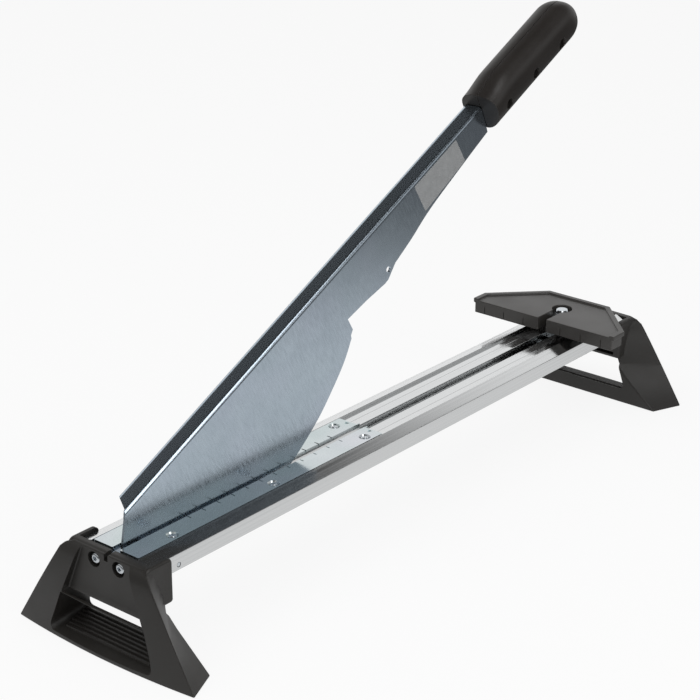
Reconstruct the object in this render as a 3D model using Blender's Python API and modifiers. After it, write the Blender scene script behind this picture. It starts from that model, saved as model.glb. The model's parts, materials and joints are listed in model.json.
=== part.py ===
# Laminate cutter: a guillotine lever on an aluminium rail with two moulded feet.
# Frame: metres, +Z up, origin on the floor under the middle of the rail.
# +X runs along the rail from the lever's pivot towards the fence, +Y is the operator's far side.
import math

import bmesh
import bpy
from mathutils import Matrix, Vector

MM = 0.001

# Clearance between pieces that touch
GAP = 0.3 * MM

# Rail, an extrusion with a T-channel along its middle
RAIL_LENGTH = 555 * MM
RAIL_HALF_WIDTH = 31.2 * MM
RAIL_BOTTOM = 56.2 * MM
RAIL_SIDE_TOP = 68.0 * MM
RAIL_CREST = 70.8 * MM
RAIL_CREST_Y = 20.6 * MM
SEAT_TOP = 68.6 * MM
WEB_BOTTOM = 66.3 * MM
LEG_THICKNESS = 2.2 * MM
SLOT_HALF = 4.3 * MM
CHANNEL_HALF = 6.6 * MM
CHANNEL_TOP = 66.6 * MM
CHANNEL_FLOOR = 60.3 * MM
CHANNEL_WALL = 1.8 * MM
BOSS_OUTER_Y = 15.6 * MM
BOSS_BOTTOM = 59.9 * MM
BOSS_DRAFT = 0.2 * MM
SCREW_CHANNEL_Y = 11.0 * MM
SCREW_CHANNEL_Z = 63.2 * MM
SCREW_CHANNEL_RADIUS = 1.9 * MM
BLADE_WINDOW_END_X = -18 * MM
SPACER_WINDOW_END_X = -240 * MM

# Support plates let into the rail's seats on both sides of the blade
PLATE_START_X = -275.8 * MM
PLATE_END_X = -31.5 * MM
PLATE_TOP = 70.8 * MM
PLATE_THICKNESS = 1.9 * MM
PLATE_INNER_Y = 3.3 * MM
PLATE_OUTER_Y = 20.2 * MM
PLATE_TAB_LENGTH = 5.0 * MM
PLATE_TAB_WIDTH = 3.0 * MM
PLATE_TAB_BOTTOM = 67.3 * MM
RIVET_X = (-239.5 * MM, -142 * MM, -44.4 * MM)
RIVET_Y = 14.2 * MM
RIVET_PIT_RADIUS = 4.2 * MM
RIVET_HEAD_RADIUS = 2.9 * MM
RIVET_SHANK_RADIUS = 1.6 * MM

# Feet
FOOT_OUTER_X = 290.8 * MM
FOOT_TOP_OUTER_X = 283.6 * MM
FOOT_INNER_X = 264.8 * MM
FOOT_TOP = 70.0 * MM
FOOT_BASE_HALF = 80.6 * MM
FOOT_BASE_INNER_HALF = 69.8 * MM
FOOT_SHOULDER_HALF = 38.4 * MM
FOOT_SHOULDER_Z = 66.0 * MM
FOOT_FRONT_BOW = 4.9 * MM
LEG_BOW = 0.5 * MM
CHEEK_INNER_X = 261.0 * MM
CHEEK_HALF = 35.6 * MM
CHEEK_BOTTOM = 39.0 * MM
CHEEK_TOP = 70.5 * MM
REAR_SLOT_COUNT = 3
REAR_SLOT_HEIGHT = 2.6 * MM
REAR_SLOT_DEPTH = 7.0 * MM
REAR_SLOT_HALF = 30.5 * MM
PANEL_BOTTOM = 34.2 * MM
PANEL_RECESS_X = 285.0 * MM
PANEL_TOP_HALF = 22.0 * MM
PANEL_BOTTOM_HALF = 39.0 * MM
WINDOW_TOP_HALF = 35.0 * MM
WINDOW_BOTTOM_HALF = 44.5 * MM
TRAY_FRONT_Z = 4.2 * MM
TRAY_REAR_Z = 12.0 * MM
TRAY_RIB_COUNT = 7
TRAY_RIB_HEIGHT = 1.2 * MM
FOOT_SLIT_BOTTOM = 65.4 * MM
FOOT_SLIT_DEEP_BOTTOM = 38.0 * MM
FOOT_SLIT_DEEP_X = 280.0 * MM
FOOT_SLIT_HALF = 1.7 * MM
FOOT_SCREW_Y = 11.0 * MM
FOOT_SCREW_Z = 63.2 * MM
FOOT_SCREW_SEAT_X = 281.2 * MM
FOOT_SCREW_HEAD_RADIUS = 4.1 * MM
FOOT_SCREW_HEAD_HEIGHT = 2.9 * MM
FOOT_SCREW_SHANK_RADIUS = 1.6 * MM
FOOT_SCREW_TIP_X = 262.0 * MM
COUNTERBORE_RADIUS = 5.4 * MM

# Lever and blade, in the lever's own frame: u along the lever, w square to it, both from the pivot
PIVOT = Vector((-251.4 * MM, 0.0, 60.05 * MM))
LEVER_ANGLE = math.radians(26.6)
BLADE_Y = 0.0
SHEET = 1.8 * MM
FLANGE_W = 37.0 * MM
SHEET_TOP = 33.8 * MM
FLANGE_OUTER_Y = 15.0 * MM
FLANGE_LIP = 8.0 * MM
GRIP_START_U = 416.5 * MM
TANG_END_U = 530 * MM
TANG_FLANGE_Y = 8.5 * MM
TANG_BOTTOM_W = 20.5 * MM
PIVOT_HOLE_RADIUS = 3.3 * MM
HANG_HOLE = (277.7 * MM, -1.6 * MM)
HANG_HOLE_RADIUS = 2.4 * MM

# Pivot
PIN_RADIUS = 3.0 * MM
PIN_END_RADIUS = 1.4 * MM
PIN_END_HOLE_RADIUS = 1.8 * MM
SPACER_RADIUS = 5.0 * MM

# Grip, in the lever's frame
GRIP_END_U = 540.5 * MM
GRIP_SECTION_W = 35.8 * MM
GRIP_TOP_RISE = 11.4 * MM
GRIP_TOP_RISE_FAR = 15.2 * MM
GRIP_BOTTOM_DROP = 18.7 * MM
GRIP_HALF_WIDTH = 16.3 * MM
GRIP_SCREW_U = (431.7 * MM, 468.4 * MM, 505 * MM)
GRIP_SCREW_W = 31.0 * MM
GRIP_SCREW_HEAD_RADIUS = 3.0 * MM
GRIP_SCREW_SHANK_RADIUS = 1.4 * MM
GRIP_BORE_RADIUS = 3.4 * MM
GRIP_SCREW_SEAT_Y = -9.0 * MM

# Label plate on the sheet, left bare
LABEL_U = (330 * MM, 384 * MM)
LABEL_W = (11.0 * MM, 34.2 * MM)
LABEL_THICKNESS = 0.35 * MM

# Fence
FENCE_X = 227.7 * MM
FENCE_FRONT = -29.2 * MM
FENCE_SIDE_BACK = -15.4 * MM
FENCE_BACK = 25.8 * MM
FENCE_HALF_WIDTH = 68.0 * MM
FENCE_BACK_HALF = 28.3 * MM
FENCE_BOTTOM = 74.4 * MM
FENCE_TOP = 85.2 * MM
FENCE_RIM_TOP = 86.5 * MM
FENCE_RIM_WIDTH = 3.4 * MM
FENCE_RIM_BOTTOM = 82.8 * MM
FENCE_OVERHANG = 1.8 * MM
FENCE_WALL = 3.0 * MM
FENCE_SLIT_HALF = 3.9 * MM
FENCE_RECESS_RADIUS = 8.2 * MM
FENCE_RECESS_FLOOR = 78.6 * MM
FENCE_BOSS_RADIUS = 13.5 * MM
HUB_RADIUS = 17.5 * MM
HUB_TEETH = 24
HUB_TOOTH = 1.0 * MM
HUB_KEEL_LENGTH = 22 * MM
BOLT_RADIUS = 3.0 * MM
BOLT_HOLE_RADIUS = 3.3 * MM
BOLT_HEAD_RADIUS = 5.6 * MM
BOLT_HEAD_HEIGHT = 4.2 * MM
BOLT_FLANGE_RADIUS = 6.9 * MM
BOLT_FLANGE_HEIGHT = 1.1 * MM
WASHER_RADIUS = 7.6 * MM
WASHER_THICKNESS = 1.2 * MM
T_NUT_LENGTH = 22 * MM
T_NUT_TOP = 66.3 * MM
T_NUT_BOTTOM = 62.3 * MM

for old in list(bpy.data.objects):
    bpy.data.objects.remove(old, do_unlink=True)

cutter_collection = bpy.data.collections.new("cutters")
part_collection = bpy.data.collections.new("laminate_cutter")
bpy.context.scene.collection.children.link(part_collection)
bpy.context.scene.collection.children.link(cutter_collection)


def material(name, colour, roughness, metallic):
    made = bpy.data.materials.new(name)
    made.use_nodes = True
    shader = made.node_tree.nodes["Principled BSDF"]
    shader.inputs["Base Color"].default_value = (*colour, 1.0)
    shader.inputs["Roughness"].default_value = roughness
    shader.inputs["Metallic"].default_value = metallic
    return made


ALUMINIUM = material("bright_aluminium", (0.80, 0.81, 0.82), 0.16, 1.0)
GALVANISED = material("galvanised_steel", (0.55, 0.60, 0.64), 0.28, 1.0)
ZINC = material("zinc_plated_steel", (0.72, 0.75, 0.78), 0.25, 1.0)
PLASTIC = material("black_moulded_plastic", (0.035, 0.033, 0.030), 0.45, 0.0)
LABEL = material("silver_label_film", (0.62, 0.64, 0.64), 0.35, 0.3)


def add_object(name, mesh, finish=None, parent=None, cutter=False):
    """Put a mesh in the scene as a part, or as a hidden cutter."""
    made = bpy.data.objects.new(name, mesh)
    home = cutter_collection if cutter else part_collection
    home.objects.link(made)
    if cutter:
        made.hide_render = True
        made.display_type = "WIRE"
    if finish is not None:
        made.data.materials.append(finish)
    if parent is not None:
        made.parent = parent
    return made


def mesh_from(name, build):
    """Make a mesh by running a function on an empty bmesh."""
    mesh = bpy.data.meshes.new(name)
    grown = bmesh.new()
    build(grown)
    bmesh.ops.recalc_face_normals(grown, faces=grown.faces)
    grown.to_mesh(mesh)
    grown.free()
    return mesh


def box_mesh(name, low, high):
    """A box between two corners."""
    centre = (Vector(low) + Vector(high)) / 2
    size = Vector(high) - Vector(low)

    def build(grown):
        place = Matrix.Translation(centre) @ Matrix.Diagonal((*size, 1.0))
        bmesh.ops.create_cube(grown, size=1.0, matrix=place)

    return mesh_from(name, build)


def rod_mesh(name, start, end, radius, segments=24, end_radius=None):
    """A cylinder or cone between two points."""
    start = Vector(start)
    end = Vector(end)
    turn = (end - start).to_track_quat("Z", "Y").to_matrix().to_4x4()
    place = Matrix.Translation((start + end) / 2) @ turn
    radius_two = radius if end_radius is None else end_radius

    def build(grown):
        bmesh.ops.create_cone(
            grown,
            cap_ends=True,
            segments=segments,
            radius1=radius,
            radius2=radius_two,
            depth=(end - start).length,
            matrix=place,
        )

    return mesh_from(name, build)


def outline_mesh(name, outlines, thickness, place):
    """A flat outline, with holes, given thickness: a 2D curve made into a mesh."""
    curve = bpy.data.curves.new(name, "CURVE")
    curve.dimensions = "2D"
    curve.fill_mode = "BOTH"
    curve.extrude = thickness / 2
    for outline in outlines:
        spline = curve.splines.new("POLY")
        spline.points.add(len(outline) - 1)
        for point, (across, up) in zip(spline.points, outline):
            point.co = (across, up, 0.0, 1.0)
        spline.use_cyclic_u = True
    holder = bpy.data.objects.new(name + "_outline", curve)
    part_collection.objects.link(holder)
    holder.matrix_world = place
    bpy.context.view_layer.update()
    evaluated = holder.evaluated_get(bpy.context.evaluated_depsgraph_get())
    mesh = bpy.data.meshes.new_from_object(evaluated)
    mesh.transform(place)
    bpy.data.objects.remove(holder, do_unlink=True)
    bpy.data.curves.remove(curve)
    welded = bmesh.new()
    welded.from_mesh(mesh)
    bmesh.ops.remove_doubles(welded, verts=welded.verts, dist=0.00002)
    bmesh.ops.recalc_face_normals(welded, faces=welded.faces)
    welded.to_mesh(mesh)
    welded.free()
    mesh.name = name
    mesh.materials.clear()
    return mesh


def combine(target, other, operation):
    """Cut the other mesh out of the target, or join it on, with a Boolean modifier."""
    step = target.modifiers.new(other.name, "BOOLEAN")
    step.operation = operation
    step.solver = "EXACT"
    step.object = other


def cut(target, mesh, parent=None):
    combine(target, add_object(mesh.name, mesh, parent=parent, cutter=True), "DIFFERENCE")


def join(target, mesh, parent=None):
    combine(target, add_object(mesh.name, mesh, parent=parent, cutter=True), "UNION")


def arc(centre, radius, first, last, steps):
    """Points on an arc, both ends included, angles in degrees."""
    points = []
    for step in range(steps + 1):
        angle = math.radians(first + (last - first) * step / steps)
        points.append((centre[0] + radius * math.cos(angle), centre[1] + radius * math.sin(angle)))
    return points


def circle(centre, radius, steps):
    return arc(centre, radius, 0, 360 - 360 / steps, steps - 1)


def smooth_line(points, steps):
    """A smooth line through the points, by the Catmull-Rom formula."""
    padded = [points[0], *points, points[-1]]
    line = []
    for index in range(len(points) - 1):
        before, start, end, after = (Vector(p) for p in padded[index:index + 4])
        for step in range(steps):
            t = step / steps
            line.append(tuple(0.5 * (
                2 * start
                + (end - before) * t
                + (2 * before - 5 * start + 4 * end - after) * t ** 2
                + (3 * start - before - 3 * end + after) * t ** 3
            )))
    line.append(tuple(points[-1]))
    return line


def turned_mesh(name, profile, place, steps=20):
    """A turned solid: a closed profile of (radius, height), outer side top to bottom, spun round Z."""
    mesh = bpy.data.meshes.new(name)
    grown = bmesh.new()
    previous = None
    for radius, height in profile:
        point = grown.verts.new((radius, 0.0, height))
        if previous is not None:
            grown.edges.new((previous, point))
        previous = point
    grown.to_mesh(mesh)
    grown.free()
    holder = bpy.data.objects.new(name + "_profile", mesh)
    part_collection.objects.link(holder)
    spin = holder.modifiers.new("turn", "SCREW")
    spin.axis = "Z"
    spin.steps = steps
    spin.render_steps = steps
    spin.use_merge_vertices = True
    spin.merge_threshold = 0.00001
    bpy.context.view_layer.update()
    evaluated = holder.evaluated_get(bpy.context.evaluated_depsgraph_get())
    turned = bpy.data.meshes.new_from_object(evaluated)
    turned.name = name
    bpy.data.objects.remove(holder, do_unlink=True)
    turned.transform(place)
    tidy = bmesh.new()
    tidy.from_mesh(turned)
    bmesh.ops.remove_doubles(tidy, verts=tidy.verts, dist=0.00001)
    bmesh.ops.recalc_face_normals(tidy, faces=tidy.faces)
    tidy.to_mesh(turned)
    tidy.free()
    return turned


def smooth_shade(made, angle=35):
    made.data.shade_smooth()
    made.data.set_sharp_from_angle(angle=math.radians(angle))


# A 2D outline lies in its own XY plane; these turn it to run along X, or to stand in the lever's plane
ALONG_X = Matrix(((0, 0, 1, 0), (1, 0, 0, 0), (0, 1, 0, 0), (0, 0, 0, 1)))
UPRIGHT = Matrix(((1, 0, 0, 0), (0, 0, -1, 0), (0, 1, 0, 0), (0, 0, 0, 1)))


def make_rail():
    wall_outer = CHANNEL_HALF + CHANNEL_WALL
    half = [
        (SLOT_HALF, SEAT_TOP),
        (RAIL_CREST_Y, SEAT_TOP),
        (RAIL_CREST_Y, RAIL_CREST),
        (RAIL_HALF_WIDTH, RAIL_SIDE_TOP),
        (RAIL_HALF_WIDTH, RAIL_BOTTOM),
        (RAIL_HALF_WIDTH - LEG_THICKNESS, RAIL_BOTTOM),
        (RAIL_HALF_WIDTH - LEG_THICKNESS, WEB_BOTTOM),
        (BOSS_OUTER_Y, WEB_BOTTOM),
        (BOSS_OUTER_Y, BOSS_BOTTOM),
        (wall_outer, BOSS_BOTTOM + BOSS_DRAFT),
        (wall_outer, CHANNEL_FLOOR - CHANNEL_WALL),
    ]
    channel = [
        (CHANNEL_HALF, CHANNEL_FLOOR),
        (CHANNEL_HALF, CHANNEL_TOP),
        (SLOT_HALF, CHANNEL_TOP),
    ]
    outer = half + [(-y, z) for y, z in reversed(half)]
    outer += [(-y, z) for y, z in reversed(channel)] + channel
    screw_channels = [
        circle((side * SCREW_CHANNEL_Y, SCREW_CHANNEL_Z), SCREW_CHANNEL_RADIUS, 14) for side in (-1, 1)
    ]
    mesh = outline_mesh("rail", [outer, *screw_channels], RAIL_LENGTH, ALONG_X)
    rail = add_object("rail", mesh, ALUMINIUM)
    end = RAIL_LENGTH / 2 + 2 * MM
    cut(rail, box_mesh(
        "blade_window",
        (-end, -SLOT_HALF, 50 * MM),
        (BLADE_WINDOW_END_X, SLOT_HALF, CHANNEL_FLOOR + 1 * MM),
    ))
    spacer_room = CHANNEL_HALF - 0.05 * MM
    cut(rail, box_mesh(
        "spacer_window",
        (-end, -spacer_room, 50 * MM),
        (SPACER_WINDOW_END_X, spacer_room, CHANNEL_FLOOR + 0.05 * MM),
    ))
    inner_face = RAIL_HALF_WIDTH - LEG_THICKNESS
    cut(rail, rod_mesh(
        "pin_bore",
        (PIVOT.x, -inner_face + 0.2 * MM, PIVOT.z),
        (PIVOT.x, inner_face - 0.2 * MM, PIVOT.z),
        PIN_RADIUS + GAP,
    ))
    reach = RAIL_HALF_WIDTH + 2 * MM
    cut(rail, rod_mesh(
        "pin_end_bore", (PIVOT.x, -reach, PIVOT.z), (PIVOT.x, reach, PIVOT.z), PIN_END_HOLE_RADIUS, 16,
    ))
    for side in (-1, 1):
        for number, rivet_x in enumerate(RIVET_X):
            spot = (rivet_x, side * RIVET_Y)
            cut(rail, rod_mesh(
                f"rivet_bore_{side}_{number}",
                (*spot, WEB_BOTTOM - 0.6 * MM),
                (*spot, SEAT_TOP + 1 * MM),
                RIVET_SHANK_RADIUS + GAP,
                14,
            ))


def make_support_plate(name, side):
    start, end = PLATE_START_X, PLATE_END_X
    inner, outer = PLATE_INNER_Y, PLATE_OUTER_Y
    outline = [(start, inner), (end, inner), (end, outer), (start, outer)]
    place = Matrix.Translation((0, 0, PLATE_TOP - PLATE_THICKNESS / 2))
    mesh = outline_mesh(name, [[(x, side * y) for x, y in outline]], PLATE_THICKNESS, place)
    plate = add_object(name, mesh, GALVANISED)
    tab_low = (end - PLATE_TAB_LENGTH, side * inner, PLATE_TAB_BOTTOM)
    tab_high = (end + 3 * MM, side * (inner + 0.9 * MM), PLATE_TOP - 0.2 * MM)
    low = tuple(min(a, b) for a, b in zip(tab_low, tab_high))
    high = tuple(max(a, b) for a, b in zip(tab_low, tab_high))
    join(plate, box_mesh(name + "_tab", low, high))
    for number, rivet_x in enumerate(RIVET_X):
        spot = (rivet_x, side * RIVET_Y)
        cut(plate, rod_mesh(
            f"{name}_pit_{number}",
            (*spot, PLATE_TOP - PLATE_THICKNESS - 1 * MM),
            (*spot, PLATE_TOP + 0.5 * MM),
            RIVET_HEAD_RADIUS + GAP - 0.4 * MM,
            20,
            RIVET_PIT_RADIUS + 0.2 * MM,
        ))


def make_rivet(name, rivet_x, rivet_y):
    top = PLATE_TOP - 0.1 * MM
    profile = [
        (0.0, top),
        (1.5 * MM, top - 0.15 * MM),
        (2.4 * MM, top - 0.6 * MM),
        (2.6 * MM, top - 1.1 * MM),
        (RIVET_SHANK_RADIUS, top - 1.7 * MM),
        (RIVET_SHANK_RADIUS, WEB_BOTTOM + 0.2 * MM),
        (0.0, WEB_BOTTOM + 0.2 * MM),
    ]
    mesh = turned_mesh(name, profile, Matrix.Translation((rivet_x, rivet_y, 0)), 16)
    smooth_shade(add_object(name, mesh, ZINC), 30)


def finer_line(points, parts):
    """The same line with more points, evenly spaced on each stretch."""
    line = []
    for start, end in zip(points, points[1:]):
        for part in range(parts):
            line.append(tuple(Vector(start).lerp(Vector(end), part / parts)))
    line.append(points[-1])
    return line


def make_foot(name, end):
    """One moulded foot; end is -1 at the pivot and +1 at the fence."""
    lean = (FOOT_OUTER_X - FOOT_TOP_OUTER_X) / FOOT_TOP

    def front_x(y, z):
        return FOOT_OUTER_X + FOOT_FRONT_BOW * (1 - (y / FOOT_BASE_HALF) ** 2) - lean * z

    # The block is made a little too deep, and its bowed front is cut afterwards
    deep_x = FOOT_OUTER_X + FOOT_FRONT_BOW + 2 * MM

    spread = (FOOT_BASE_HALF - FOOT_SHOULDER_HALF) / FOOT_SHOULDER_Z
    front_half = [
        (FOOT_BASE_HALF, 0.0),
        (FOOT_BASE_HALF - spread * 30 * MM + LEG_BOW, 30 * MM),
        (FOOT_BASE_HALF - spread * 48 * MM + LEG_BOW, 48 * MM),
        (FOOT_SHOULDER_HALF, FOOT_SHOULDER_Z),
        (33 * MM, FOOT_TOP),
    ]
    rear_half = [
        (FOOT_BASE_INNER_HALF, 0.0),
        (31.5 * MM, 30 * MM),
        (30 * MM, 48 * MM),
        (28 * MM, FOOT_SHOULDER_Z),
        (26 * MM, FOOT_TOP),
    ]

    def build(grown):
        front = finer_line(front_half, 3)
        rear = finer_line(rear_half, 3)
        front += [(-y, z) for y, z in reversed(front)]
        rear += [(-y, z) for y, z in reversed(rear)]
        rings = [
            [grown.verts.new((end * deep_x, y, z)) for y, z in front],
            [grown.verts.new((end * front_x(y, z), y, z)) for y, z in front],
            [grown.verts.new((end * FOOT_INNER_X, y, z)) for y, z in rear],
        ]
        grown.faces.new(rings[0])
        grown.faces.new(list(reversed(rings[-1])))
        count = len(front)
        for outer, inner in zip(rings, rings[1:]):
            for index in range(count):
                after = (index + 1) % count
                grown.faces.new((outer[index], outer[after], inner[after], inner[index]))
        grown.normal_update()
        bmesh.ops.triangulate(grown, faces=grown.faces)

    foot = add_object(name, mesh_from(name, build), PLASTIC)

    def across(low_x, high_x, low_y, high_y, low_z, high_z, label):
        xs = sorted((end * low_x, end * high_x))
        return box_mesh(f"{name}_{label}", (xs[0], low_y, low_z), (xs[1], high_y, high_z))

    bow_reach = FOOT_BASE_HALF + 8 * MM
    bow_steps = 10
    bowed = []
    for step in range(bow_steps + 1):
        y = bow_reach * (2 * step / bow_steps - 1)
        bowed.append((front_x(y, 0), y))
    bowed += [(deep_x + 20 * MM, bow_reach), (deep_x + 20 * MM, -bow_reach)]
    leaning = Matrix(((end, 0, -end * lean, 0), (0, 1, 0, 0), (0, 0, 1, 0), (0, 0, 0, 1)))
    cut(foot, outline_mesh(f"{name}_front_bow", [bowed], 200 * MM, leaning))

    # The rail sits in a pocket in this block, between its two cheeks
    join(foot, across(
        CHEEK_INNER_X, 282 * MM, -CHEEK_HALF, CHEEK_HALF, CHEEK_BOTTOM, CHEEK_TOP, "cheeks",
    ))
    rail_room = RAIL_HALF_WIDTH + GAP
    cut(foot, across(
        250 * MM, RAIL_LENGTH / 2 + GAP, -rail_room, rail_room, RAIL_BOTTOM - GAP, 90 * MM, "rail_pocket",
    ))
    slot_pitch = (RAIL_BOTTOM - CHEEK_BOTTOM) / (REAR_SLOT_COUNT + 0.8)
    for number in range(REAR_SLOT_COUNT):
        slot_z = CHEEK_BOTTOM + slot_pitch * (number + 0.9)
        cut(foot, across(
            250 * MM,
            CHEEK_INNER_X + REAR_SLOT_DEPTH,
            -REAR_SLOT_HALF,
            REAR_SLOT_HALF,
            slot_z - REAR_SLOT_HEIGHT / 2,
            slot_z + REAR_SLOT_HEIGHT / 2,
            f"rear_slot_{number}",
        ))

    # The middle of the face is upright, so its recess grows deeper towards the window below it
    recess = outline_mesh(f"{name}_panel", [[
        (-PANEL_TOP_HALF, FOOT_TOP + 5 * MM),
        (PANEL_TOP_HALF, FOOT_TOP + 5 * MM),
        (PANEL_BOTTOM_HALF, PANEL_BOTTOM - 1 * MM),
        (-PANEL_BOTTOM_HALF, PANEL_BOTTOM - 1 * MM),
    ]], 20 * MM, ALONG_X)
    recess.transform(Matrix.Translation((end * (PANEL_RECESS_X + 10 * MM), 0, 0)))
    cut(foot, recess)

    # The window runs right through, over a tray that slopes up towards the rail's side
    window_slope = (WINDOW_BOTTOM_HALF - WINDOW_TOP_HALF) / (PANEL_BOTTOM - TRAY_FRONT_Z)

    def window_half(z):
        return WINDOW_TOP_HALF + window_slope * (PANEL_BOTTOM - z)

    def window(grown):
        sections = []
        floor_slope = (TRAY_REAR_Z - TRAY_FRONT_Z) / (FOOT_OUTER_X - FOOT_INNER_X)
        roof_slope = (CHEEK_BOTTOM - PANEL_BOTTOM) / (PANEL_RECESS_X - CHEEK_INNER_X)
        for x in (deep_x + 2 * MM, CHEEK_INNER_X - 2 * MM):
            floor_z = TRAY_FRONT_Z + floor_slope * (FOOT_OUTER_X - x)
            roof_z = PANEL_BOTTOM + roof_slope * (PANEL_RECESS_X - x)
            low = window_half(floor_z)
            top = window_half(roof_z)
            corners = ((-low, floor_z), (low, floor_z), (top, roof_z), (-top, roof_z))
            sections.append([grown.verts.new((end * x, y, z)) for y, z in corners])
        front, rear = sections
        grown.faces.new(front)
        grown.faces.new(list(reversed(rear)))
        for index in range(4):
            after = (index + 1) % 4
            grown.faces.new((front[index], front[after], rear[after], rear[index]))

    cut(foot, mesh_from(f"{name}_window", window))

    slope = (TRAY_REAR_Z - TRAY_FRONT_Z) / (FOOT_OUTER_X - FOOT_INNER_X)
    pitch = (FOOT_OUTER_X - FOOT_INNER_X - 5 * MM) / TRAY_RIB_COUNT
    for number in range(TRAY_RIB_COUNT):
        rib_x = FOOT_INNER_X + 2.5 * MM + pitch * (number + 0.5)
        floor_z = TRAY_FRONT_Z + slope * (FOOT_OUTER_X - rib_x)
        join(foot, across(
            rib_x - 0.8 * MM,
            rib_x + 0.8 * MM,
            -WINDOW_BOTTOM_HALF - 1 * MM,
            WINDOW_BOTTOM_HALF + 1 * MM,
            floor_z - 3 * MM,
            floor_z + TRAY_RIB_HEIGHT,
            f"rib_{number}",
        ))

    for side in (-1, 1):
        spot = (side * FOOT_SCREW_Y, FOOT_SCREW_Z)
        cut(foot, rod_mesh(
            f"{name}_counterbore_{side}",
            (end * FOOT_SCREW_SEAT_X, *spot),
            (end * (FOOT_OUTER_X + 5 * MM), *spot),
            COUNTERBORE_RADIUS,
            24,
        ))
        cut(foot, rod_mesh(
            f"{name}_screw_hole_{side}",
            (end * 270 * MM, *spot),
            (end * (FOOT_SCREW_SEAT_X + 1 * MM), *spot),
            FOOT_SCREW_SHANK_RADIUS + GAP,
            14,
        ))
    if end < 0:
        slit_low = BLADE_Y - FOOT_SLIT_HALF
        slit_high = BLADE_Y + FOOT_SLIT_HALF
        cut(foot, across(270 * MM, 300 * MM, slit_low, slit_high, FOOT_SLIT_BOTTOM, 90 * MM, "blade_slit"))
        cut(foot, across(
            250 * MM, FOOT_SLIT_DEEP_X, slit_low, slit_high, FOOT_SLIT_DEEP_BOTTOM, 80 * MM, "blade_slit_deep",
        ))


def make_foot_screw(name, end, side):
    seat = FOOT_SCREW_SEAT_X + GAP
    radius = FOOT_SCREW_HEAD_RADIUS
    height = FOOT_SCREW_HEAD_HEIGHT
    profile = [
        (0.0, seat + height),
        (radius * 0.55, seat + height * 0.97),
        (radius * 0.85, seat + height * 0.8),
        (radius, seat + height * 0.45),
        (radius, seat),
        (FOOT_SCREW_SHANK_RADIUS, seat),
        (FOOT_SCREW_SHANK_RADIUS, FOOT_SCREW_TIP_X + 1.5 * MM),
        (0.3 * MM, FOOT_SCREW_TIP_X),
        (0.0, FOOT_SCREW_TIP_X),
    ]
    outward = Vector((end, 0, 0)).to_track_quat("Z", "Y").to_matrix().to_4x4()
    place = Matrix.Translation((0, side * FOOT_SCREW_Y, FOOT_SCREW_Z)) @ outward
    screw = add_object(name, turned_mesh(name, profile, place, 20), ZINC)
    socket_start = (end * (seat + height * 0.45), side * FOOT_SCREW_Y, FOOT_SCREW_Z)
    socket_end = (end * (seat + height + 1 * MM), side * FOOT_SCREW_Y, FOOT_SCREW_Z)
    cut(screw, rod_mesh(name + "_socket", socket_start, socket_end, 1.9 * MM, 6))
    smooth_shade(screw)


def lever_outline():
    """The sheet's outline from the pivot end round the cutting edge to the tang and back."""
    cutting_edge = smooth_line([
        (21 * MM, -35 * MM),
        (61 * MM, -51.5 * MM),
        (101 * MM, -57.5 * MM),
        (131 * MM, -55.7 * MM),
        (166 * MM, -48.0 * MM),
        (192 * MM, -37.8 * MM),
        (210 * MM, -28.7 * MM),
        (223 * MM, -19.2 * MM),
    ], 4)
    belly = smooth_line([
        (286 * MM, -2.5 * MM),
        (309 * MM, 1.2 * MM),
        (336 * MM, 6.8 * MM),
        (385 * MM, 11.8 * MM),
        (GRIP_START_U - 1 * MM, 14.4 * MM),
    ], 3)
    return [
        (-0.6 * MM, SHEET_TOP),
        (-13.7 * MM, 16.3 * MM),
        *arc((0, 0), 18 * MM, 158, 235, 5),
        (5 * MM, -25 * MM),
        *cutting_edge,
        (223.5 * MM, -16.8 * MM),
        (227.1 * MM, -14.2 * MM),
        (226.3 * MM, -3.4 * MM),
        (248 * MM, -5.4 * MM),
        (270 * MM, -8.7 * MM),
        (274.4 * MM, -8.4 * MM),
        *belly,
        (GRIP_START_U - 0.5 * MM, TANG_BOTTOM_W),
        (TANG_END_U, TANG_BOTTOM_W),
        (TANG_END_U, SHEET_TOP),
    ]


def flange_outline(outer_y, lip, top, inset):
    """The folded top in cross-section, (y, w): up from the sheet, across and down the far side."""
    inner_y = BLADE_Y - SHEET / 2 + inset
    thickness = SHEET - 2 * inset
    bend = 3.0 * MM
    outer_bend = 4.5 * MM
    outside = arc((inner_y + bend, top - bend), bend, 180, 90, 5)
    inside = arc((inner_y + bend, top - bend), bend - thickness, 90, 180, 5)
    foot_w = top - 8 * MM
    if lip > 0:
        centre = (outer_y - outer_bend, top - outer_bend)
        far_side = arc(centre, outer_bend, 90, 0, 6)
        far_side += [(outer_y, top - lip), (outer_y - thickness, top - lip)]
        far_side += arc(centre, outer_bend - thickness, 0, 90, 6)
    else:
        far_side = [(outer_y, top), (outer_y, top - thickness)]
    return [(inner_y, foot_w), *outside, *far_side, *inside, (inner_y + thickness, foot_w)]


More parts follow.
